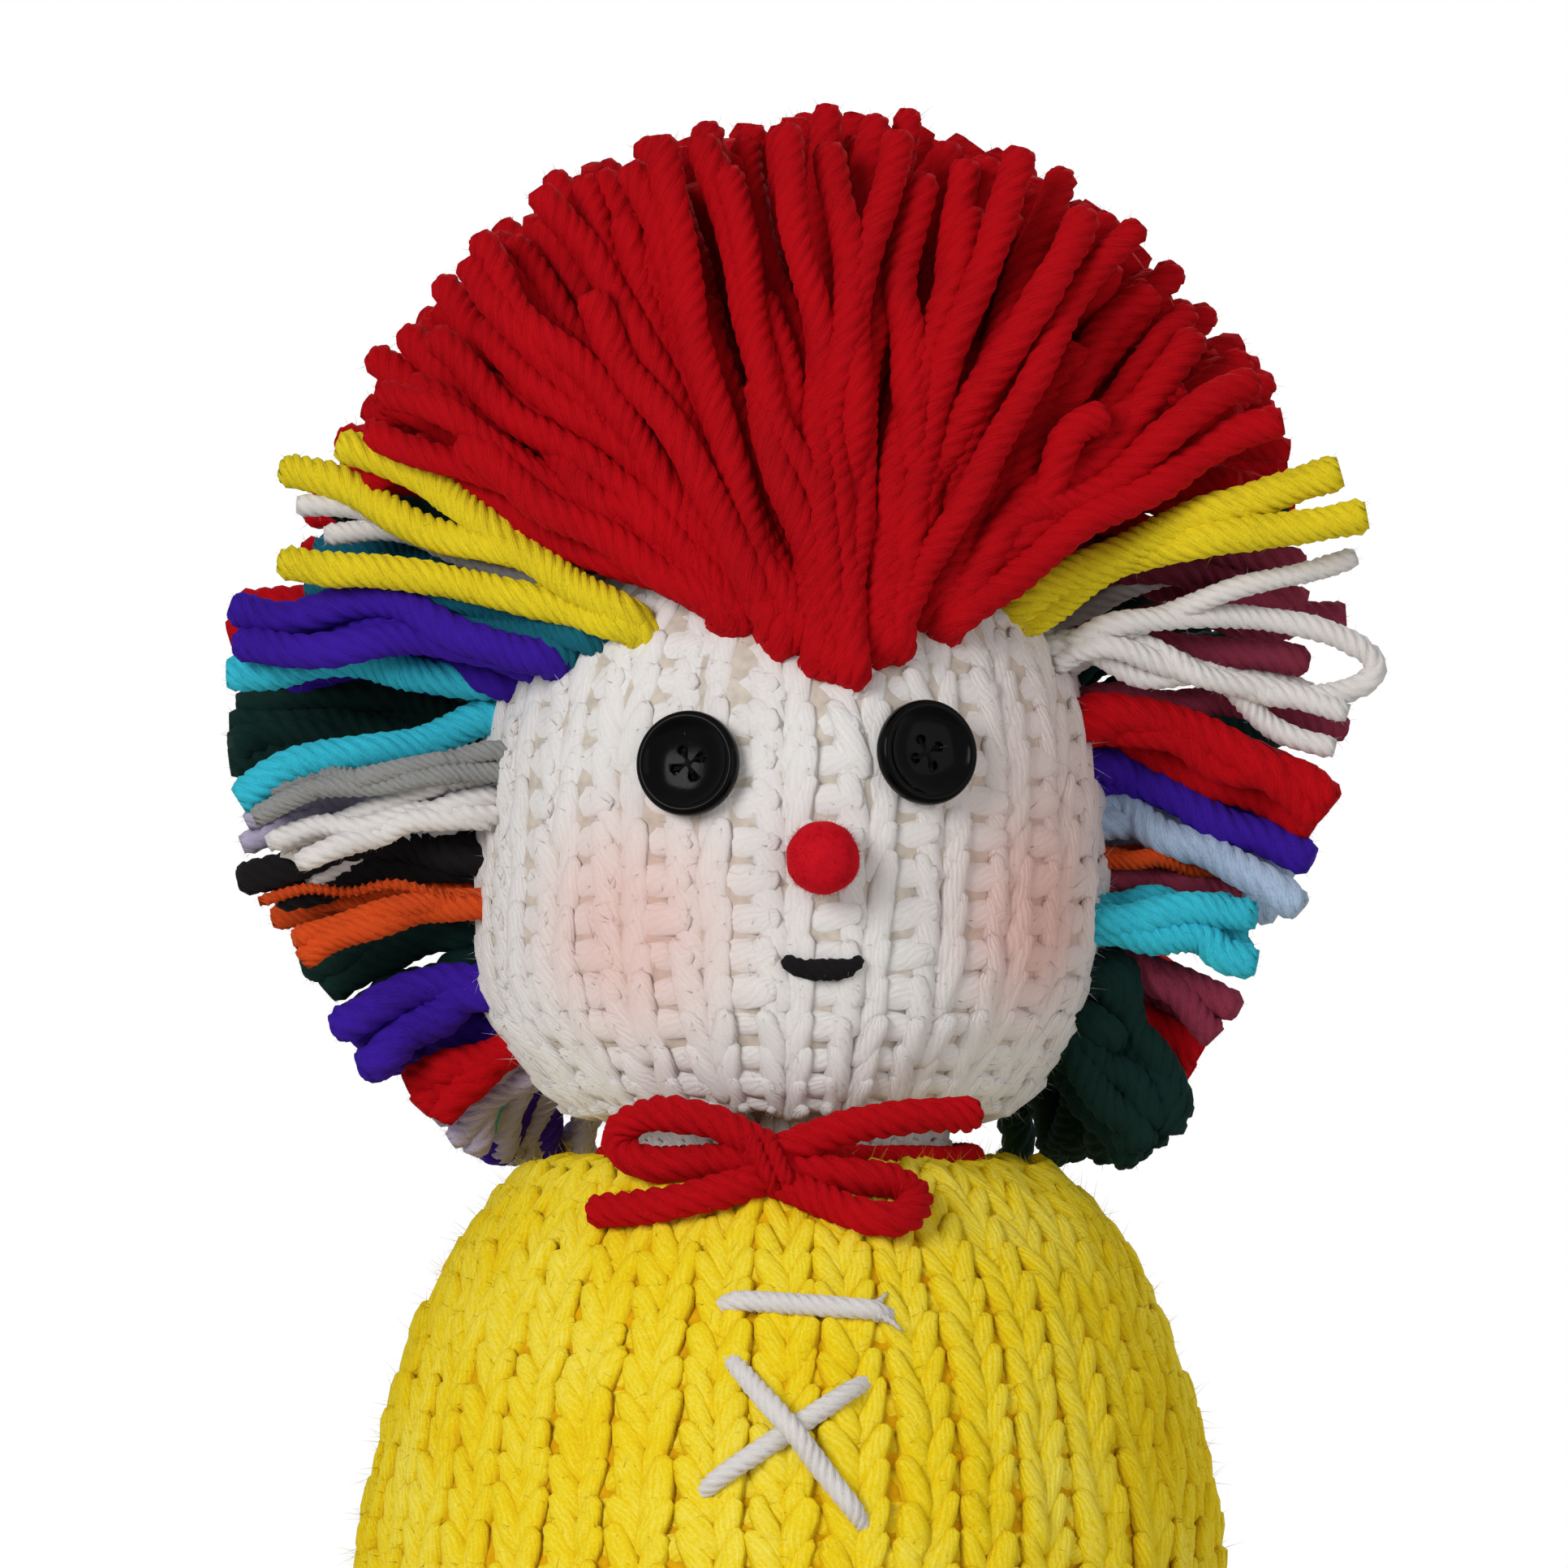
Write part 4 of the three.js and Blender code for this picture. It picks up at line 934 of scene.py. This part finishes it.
# single strands of a tuft's colour that are knotted elsewhere: turn, height, direction, length and
# lean back
straySingles = {
    "left_white": [(-62, 34, -74, 34, 4), (-62, 34, -79, 31, 5)],
    "left_cyan": [(-78, 22, -87, 32, -2)],
    "left_red_low": [(-104, 27, -80, 33, 7), (-104, 26, -86, 34, 7), (-96, 33, -70, 30, 8),
                     (-112, 30, -74, 30, 10)],
    "left_teal": [(-84, 32, -76, 26, 9), (-94, 30, -82, 26, 9)],
    "left_green": [(-100, 10, -95, 24, 6), (-98, 2, -100, 24, 6), (-92, -6, -106, 20, 5),
                   (-92, -8, -112, 18, 5), (-92, -10, -120, 17, 5), (-98, -14, -124, 15, 6),
                   (-70, 36, -76, 30, 6)],
    "left_purple_low": [(-112, -25, -158, 10, 2), (-118, -26, 176, 9, 2)],
    "left_lilac_low": [(-105, -24, -122, 10, 0), (-104, -25, -135, 10, 1), (-104, -26, -150, 8.5, 0),
                       (-106, -26, -165, 8, 1), (-110, -26, 178, 8, 1), (-118, -27, -168, 8, 1),
                       (-112, -25, -145, 10.5, 2), (-122, -26, -155, 9.5, 1), (-130, -27, 170, 8, 1)],
    "back_low_left": [(-108, -23, -128, 11, 0), (-110, -24, -142, 10.5, 1)],
    "back_left": [(-166, 27, -98, 30, 4), (-171, 25, -120, 28, 5), (-175, 27, -145, 26, 6),
                  (-168, 22, -110, 29, 6)],
    "back_right": [(166, 27, 98, 30, 4), (171, 25, 120, 28, 5), (175, 27, 145, 26, 6),
                   (168, 22, 110, 29, 6)],
    "back_top": [(150 + 6 * i, 38 + i % 3, 72 - 14.4 * i, 42 + i % 4, -4 + 4 * (i % 4)) for i in range(11)],
    "right_green_low": [(70, 33, 70, 32, 1), (110, -26, 176, 8, 4), (128, -27, 178, 8, 2),
                        (120, -26, 160, 9, 2), (86, -14, 152, 18, 2), (86, -13, 160, 20, 1),
                        (88, -13, 166, 21, 3), (86, -14, 172, 20, 1), (84, -15, 180, 19, 1),
                        (84, -17, -170, 17, 1), (84, -18, -162, 16, 0), (90, -15, -176, 18, 3),
                        (94, -13, 158, 20, 5), (96, -14, 170, 21, 6), (98, -14, -178, 20, 6)],
    "right_red": [(94, -14, 126, 14, 3), (98, -15, 132, 14, 5)],
    "right_maroon_low": [(92, -1, 98, 15, 5), (92, -2, 106, 15, 6)],
    "right_maroon": [(84, 28, 84, 33, 6), (84, 20, 96, 30, 8), (80, 26, 92, 28, 6)]}
# yarns that turn back on themselves: x, y and height along the loop
hairLoops = {
    "right_white": [(34.5, -13.0, 175.0), (40.0, -14.0, 177.6), (51.5, -11.0, 178.6), (63.0, -8.0, 177.2),
                    (70.0, -6.5, 174.6), (72.0, -6.0, 172.0), (69.0, -6.0, 169.6), (61.0, -7.5, 168.6),
                    (50.0, -10.5, 171.2), (40.0, -14.0, 174.6), (34.5, -13.0, 174.0)],
    "left_white": [(-36.0, -11.0, 156.5), (-41.0, -11.5, 155.5), (-52.0, -9.5, 151.0),
                   (-60.0, -8.0, 149.2), (-61.5, -8.0, 151.0), (-56.0, -8.5, 153.2),
                   (-43.0, -10.5, 158.0), (-37.0, -10.0, 158.6)]}
# how the strands that fill in differ: round the head, up, in direction, length and lean back
fillIn = dict(aroundBehind=20.0, around=(8.0, 32.0), rise=3.0, direction=10.0, length=(0.88, 1.0),
              lean=(0.0, 6.0))
sideHair = dict(widths=(0.95, 1.07), knotStray=1.6, loopWave=0.5)
# room over the shoulders however the head leans: the knit's height, what a lean takes for each mm from
# the axis, the shoulders' top, how far back a tip may go, by which step, and the lowest knot
shoulderRoom = dict(knit=3.0, lean=0.16, top=112.0, furthestBack=32.0, backStep=1.0, lowestKnot=-23.0)


# the lowest height for a tip at a distance from the axis
def lowestTip(away):
    power = bodyForm["domePower"]
    rise = (1 - min(away / bodyForm["radius"], 1.0) ** power) ** (1 / power)
    shoulder = min(bodyForm["widest"] + bodyForm["dome"] * rise, shoulderRoom["top"])
    return shoulder + shoulderRoom["knit"] + shoulderRoom["lean"] * away


def makeSideHair():
    cheek = headForm["cheek"]
    for name, slot, width, turn, rise, more, strands in sideTufts:
        behind = abs(turn) > hairShape["behind"]
        profile = hiddenPlies if behind else ropePlies if slot in ropeSlots else softPlies
        yarn = Yarn(f"hair_{name}", slot, profile)
        draw = yarn.draw
        routes = [(turn, rise, *strand) for strand in strands] + straySingles.get(name, [])
        outer = abs(onHead(turn, cheek + rise)[0].x)
        for i in range(more):
            direction, length, lean = strands[i % len(strands)][:3]
            if behind:
                around = turn + vary(draw, fillIn["aroundBehind"])
            else:
                around = turn + math.copysign(draw.uniform(*fillIn["around"]), turn)
            further = max(abs(onHead(around, cheek + rise)[0].x) - outer, 0.0)
            routes.append((around, rise + vary(draw, fillIn["rise"]),
                           direction + vary(draw, fillIn["direction"]),
                           length * draw.uniform(*fillIn["length"]) - further,
                           lean + draw.uniform(*fillIn["lean"])))
        for around, height, direction, length, lean, *share in routes:
            raised = max(shoulderRoom["lowestKnot"] - height, 0.0)
            length += raised
            root, facing = onHead(around, cheek + height + raised)
            angle = math.radians(direction)
            tip = root + facing * hairShape["lift"]
            tip += Vector((length * math.sin(angle), lean, length * math.cos(angle)))
            girth = width * (share[0] if share else draw.uniform(*sideHair["widths"]))
            bottom = tip.z - girth / 2
            while bottom < lowestTip(math.hypot(tip.x, tip.y)) and tip.y < shoulderRoom["furthestBack"]:
                tip.y += shoulderRoom["backStep"]
            spots = hairSpots(root + stray(draw, sideHair["knotStray"]), facing, tip, draw)
            yarn.strand(spots, girth, wave=hairShape["wave"] * min(length / hairShape["fullSpan"], 1.0))
        if name in hairLoops:
            spots = [Vector(spot) for spot in hairLoops[name]]
            yarn.strand(spots, width, ends=(False, False), wave=sideHair["loopWave"])
        yarn.piece("head")


makeSideHair()
print("side and back hair is made")

# bow and tie: routes as (x, height above the neck) and, where it lifts off, how far forward, on the
# sloping shoulders; the knot's wrap goes by shares of its rise and how far forward
neckHeight = 112.0
bow = dict(width=4.6, standOff=3.68, chin=1.5, wave=1.0, fuzz=2.5, knotPlace=-2.4, knotRise=2.5,
           knotSlant=1.2, wrapGap=0.95, wrapWidth=2.4,
           wrap=[(0.9, -2.5), (1.1, 0.4), (0.7, 2.4), (0.0, 3.0), (-0.7, 2.4), (-1.1, 0.4), (-0.9, -2.5)])
bowStrands = {
    "bow_loop_left": [(-2.0, 1.2), (-5.5, 3.0), (-10.3, 5.4), (-16.0, 6.2), (-19.9, 4.2), (-20.0, 1.5),
                      (-16.6, 0.0), (-10.3, 0.7), (-5.0, 0.6), (-2.0, 0.2)],
    "bow_tail_left": [(-2.0, -1.3), (-6.0, -2.9), (-13.0, -4.6), (-24.0, -6.0)],
    "bow_loop_right": [(-2.5, -0.6), (2.0, -1.0), (7.7, -1.3), (12.6, -2.0), (15.4, -4.2), (14.2, -6.6),
                       (10.8, -6.6), (5.7, -4.7), (1.0, -2.9), (-2.5, -1.5)],
    "bow_tail_right": [(-2.5, 0.8), (2.0, 2.5), (8.7, 4.3), (16.0, 5.8, 1.2), (23.4, 5.9, 2.2)]}
tie = dict(width=3.5, ring=22.4, rise=-0.1, start=-52.0, sweep=256.0, spots=8, endAside=1.2, endRise=0.6,
           endForward=-2.0)


def onBow(x, rise, forward=0.0):
    z = neckHeight + rise
    radius = max(bodyRadiusAt(z), bodyRadiusAt(neckHeight) + bow["chin"]) + bow["standOff"]
    return Vector((x, -math.sqrt((radius + forward) ** 2 - x * x), z))


def makeBow():
    for name, route in bowStrands.items():
        yarn = Yarn(name, "yarn_red", bowPlies, bow["fuzz"])
        spots = [onBow(*spot) for spot in route]
        yarn.strand(spots, bow["width"], (False, "tail" in name), wave=bow["wave"])
        yarn.piece("torso")
    yarn = Yarn("bow_knot", "yarn_red", bowPlies, bow["fuzz"])
    for aside in (-1, 1):
        middle = bow["knotPlace"] + aside * bow["wrapGap"]
        spots = [onBow(middle - bow["knotSlant"] * share, bow["knotRise"] * share, forward)
                 for share, forward in bow["wrap"]]
        yarn.strand(spots, bow["wrapWidth"], (False, False))
    yarn.piece("torso")

    yarn = Yarn("neck_tie", "yarn_red", softPlies)
    spots = [onBow(bow["knotPlace"] - tie["endAside"], tie["endRise"], tie["endForward"])]
    for i in range(tie["spots"] + 1):
        angle = math.radians(tie["start"] - tie["sweep"] * i / tie["spots"])
        spots.append(Vector((tie["ring"] * math.sin(angle), -tie["ring"] * math.cos(angle),
                             neckHeight + tie["rise"])))
    spots.append(onBow(bow["knotPlace"] + tie["endAside"], tie["endRise"], tie["endForward"]))
    yarn.strand(spots, tie["width"], (False, False))
    yarn.piece("torso")


makeBow()
print("bow and tie are made")

# chest and mouth stitches: (x, z) of each end, how the ends dive into the knit and slim down, and how
# high a stitch climbs over another; the bar's right end is split in two
chest = dict(width=2.9, spots=8, lie=1.2, dive=2.4, divePower=8, climb=2.6, climbReach=4.6, slim=0.75,
             slimPower=0.5, splitWidth=0.5, splitDrop=0.1, splitTaper=0.85)
chestStitches = {
    "chest_bar_stitch": ((-8.9, 95.1), (12.6, 93.6)),
    "chest_cross_under": ((-11.0, 72.3), (9.7, 86.0)),
    "chest_cross_over": ((-8.2, 89.6), (9.4, 68.0))}
crossing = Vector((0.4, 79.8))
splitEnds = [[(7.6, 93.9), (10.0, 94.4), (11.6, 95.9)], [(8.6, 93.7), (11.4, 92.8), (13.4, 91.3)]]
mouth = dict(x=4.0, z=136.6, width=8.9, spots=4, sag=1.15, sagPower=4, thick=2.9, lie=0.6, dive=0.7,
             divePower=8, slim=0.55, slimPower=0.7)


def onChest(x, z, lift):
    return onFront(bodyRadiusAt, x, z, lift)[0]


# full in the middle and slim at both ends
def slimEnds(look):
    return lambda run: look["slim"] + (1 - look["slim"]) * math.sin(math.pi * run) ** look["slimPower"]


def makeStitches():
    for name, (first, last) in chestStitches.items():
        yarn = Yarn(name, "yarn_white", softPlies)
        spots = []
        for i in range(chest["spots"] + 1):
            share = i / chest["spots"]
            flat = Vector(first).lerp(Vector(last), share)
            lift = chest["lie"] - chest["dive"] * abs(2 * share - 1) ** chest["divePower"]
            if name == "chest_cross_over":
                lift += chest["climb"] * math.exp(-((flat - crossing).length / chest["climbReach"]) ** 2)
            spots.append(onChest(flat.x, flat.y, lift))
        yarn.strand(spots, chest["width"], (False, False), girth=slimEnds(chest))
        if name == "chest_bar_stitch":
            for splitEnd in splitEnds:
                spots = [onChest(x, z, chest["lie"] - chest["splitDrop"] * i)
                         for i, (x, z) in enumerate(splitEnd)]
                yarn.strand(spots, chest["width"] * chest["splitWidth"], (False, False),
                            girth=lambda run: 1 - chest["splitTaper"] * run * run)
        yarn.piece("torso")
    yarn = Yarn("mouth_stitch", "yarn_black", softPlies)
    spots = []
    for i in range(-mouth["spots"], mouth["spots"] + 1):
        share = math.sin(math.pi / 2 * i / mouth["spots"])
        z = mouth["z"] - mouth["sag"] * (1 - share ** mouth["sagPower"])
        lift = mouth["lie"] - mouth["dive"] * share ** mouth["divePower"]
        spots.append(onFront(headRadiusAt, mouth["x"] + mouth["width"] / 2 * share, z, lift)[0])
    yarn.strand(spots, mouth["thick"], (False, False), girth=slimEnds(mouth))
    yarn.piece("head")


makeStitches()
print("chest and mouth stitches are made")

# nose: a felted ball, a little lumpy, with short fibres all over
nose = dict(diameter=9.3, x=3.6, z=148.9, sink=0.3, skin=0.2, rounds=4, lumps=0.05, lumpRun=1.6,
            fibres=4000, fibreLength=(0.3, 0.9), fibreThick=0.024, fibreSeat=0.35, fibreOut=0.6,
            fibreStray=0.7)
feltLook = dict(knitLook, shade=(198, 12, 30), gains=(0.85, 1.1), places=(0.3, 0.7), grain=1400.0,
                detail=4.0, sheen=0.5, sheenGain=2.0)


def makeNose():
    draw = random.Random("nose_pompom")
    radius = nose["diameter"] / 2
    centre = onFront(headRadiusAt, nose["x"], nose["z"], radius - nose["sink"])[0]
    bm = bmesh.new()
    bm.loops.layers.uv.new("UVMap")
    bmesh.ops.create_icosphere(bm, subdivisions=nose["rounds"], radius=(radius - nose["skin"]) * mm,
                               calc_uvs=True)
    for vert in bm.verts:
        vert.co *= 1 + nose["lumps"] * noise.noise(vert.co / (nose["lumpRun"] * mm))
        vert.co += centre * mm
    felt = newCurve("felt", fibrePly)
    for i in range(nose["fibres"]):
        out = stray(draw, 1).normalized()
        root = centre + out * (radius - nose["fibreSeat"])
        lie = out * nose["fibreOut"] + stray(draw, nose["fibreStray"])
        addFibre(felt, root, root + lie * draw.uniform(*nose["fibreLength"]), nose["fibreThick"])
    addCurve(bm, "felt", felt)
    closeSeams(bm, fineWeld)
    tints = [tint(feltLook["shade"], gain) for gain in feltLook["gains"]]
    finish = grainFinish("noseFelt", dict(feltLook, tints=tints))
    newPiece("nose_felt", meshOf(bm, "nose_felt"), finish, "head", ["nose_pompom"])


makeNose()

# eyes: a dished button with a round rim and four holes, (radius, height) of its outline from the back
# up; the thread's route goes by shares of the way to a hole and heights
button = dict(outline=[(0.0, 0.0), (5.5, 0.0), (6.2, 0.35), (6.45, 1.0), (6.45, 1.8), (6.3, 2.4),
                       (6.0, 2.75), (5.6, 2.8), (5.25, 2.55), (4.9, 2.25), (4.0, 1.85), (2.6, 1.6),
                       (0.0, 1.5)],
              steps=64, twist=24.0, lift=0.3, holes=4, holeWidth=1.25, holePlace=1.7, holeSides=20,
              holeDepth=12.0, edge=0.12, edgeRounds=2, edgeAngle=50.0, thread=0.8,
              threadRoute=[(-1, 0.2), (-1, 1.0), (-0.7, 1.5), (0, 1.6), (0.7, 1.5), (1, 1.0), (1, 0.2)])
eyes = {"left": (-11.8, 160.2), "right": (15.9, 161.5)}
buttonLook = dict(deep=(2, 2, 3), light=(7, 7, 6), places=(0.35, 0.75), swirl=220.0, scuff=1800.0,
                  rough=0.1, roughVary=0.1, bump=0.08, bumpDepth=0.1, gloss=0.05)


def buttonFinish(look):
    finish, wire = newFinish("buttonGloss")
    spot = wire.node("ShaderNodeTexCoord", output="Object")
    swirl = speckle(wire, spot, look["swirl"], detail=3.0)
    scuff = speckle(wire, spot, look["scuff"], detail=3.0)
    colour = toneRamp(wire, swirl, look["places"], [tint(look["deep"]), tint(look["light"])])
    dress(wire, colour, scuff * look["roughVary"] + look["rough"], scuff, look)
    return finish


# the turned disc with its holes bored and its edges broken
def buttonDisc():
    disc = newObject("disc", meshOf(turnedForm(button["outline"], button["steps"]), "disc"))
    radius = button["holeWidth"] / 2 * mm
    bm = bmesh.new()
    for i in range(button["holes"]):
        place = Matrix.Rotation(2 * math.pi * i / button["holes"], 4, "Z")
        place = place @ Matrix.Translation((button["holePlace"] * mm, 0, 0))
        bmesh.ops.create_cone(bm, cap_ends=True, segments=button["holeSides"], radius1=radius,
                              radius2=radius, depth=button["holeDepth"] * mm, matrix=place)
    holes = newObject("holes", meshOf(bm, "holes"))
    cut = disc.modifiers.new("holes", "BOOLEAN")
    cut.operation = "DIFFERENCE"
    cut.object = holes
    edge = disc.modifiers.new("edge", "BEVEL")
    edge.width = button["edge"] * mm
    edge.segments = button["edgeRounds"]
    edge.angle_limit = math.radians(button["edgeAngle"])
    mesh = meshFromObject(disc)
    dropObject(disc)
    dropObject(holes)
    return mesh


def makeEyes():
    gloss = buttonFinish(buttonLook)
    for side, (x, z) in eyes.items():
        centre, facing = onFront(headRadiusAt, x, z, button["lift"])
        place = Matrix.Translation(centre * mm) @ facing.to_track_quat("Z", "Y").to_matrix().to_4x4()
        place = place @ Matrix.Rotation(math.radians(button["twist"]), 4, "Z")
        mesh = buttonDisc()
        mesh.transform(place)
        mesh.shade_smooth()
        mesh.name = f"eye_disc_{side}"
        newPiece(mesh.name, mesh, gloss, "head", [f"eye_button_{side}"])

        yarn = Yarn(f"eye_thread_{side}", "yarn_black", softPlies)
        for turn in (0, math.pi / 2):
            spots = []
            for share, height in button["threadRoute"]:
                flat = Matrix.Rotation(turn, 4, "Z") @ Vector((share * button["holePlace"], 0, height))
                spots.append((place @ (flat * mm)) / mm)
            yarn.strand(spots, button["thread"], (False, False))
        yarn.piece("head")


makeEyes()
print("nose and eyes are made")

# the card disc inside the base keeps its shape and gets a pulpy finish
cardLook = dict(tints=(tint((160, 134, 98)), tint((188, 162, 122))), places=(0.35, 0.65), grain=900.0,
                detail=5.0, rough=0.8, roughVary=0.15, bump=0.3, bumpDepth=0.2, gloss=0.2)
bpy.data.objects["base_stiffener"].material_slots[0].material = grainFinish("pulpCard", cardLook)

for profile in (softPlies, ropePlies, bowPlies, hiddenPlies, fibrePly):
    dropObject(profile)
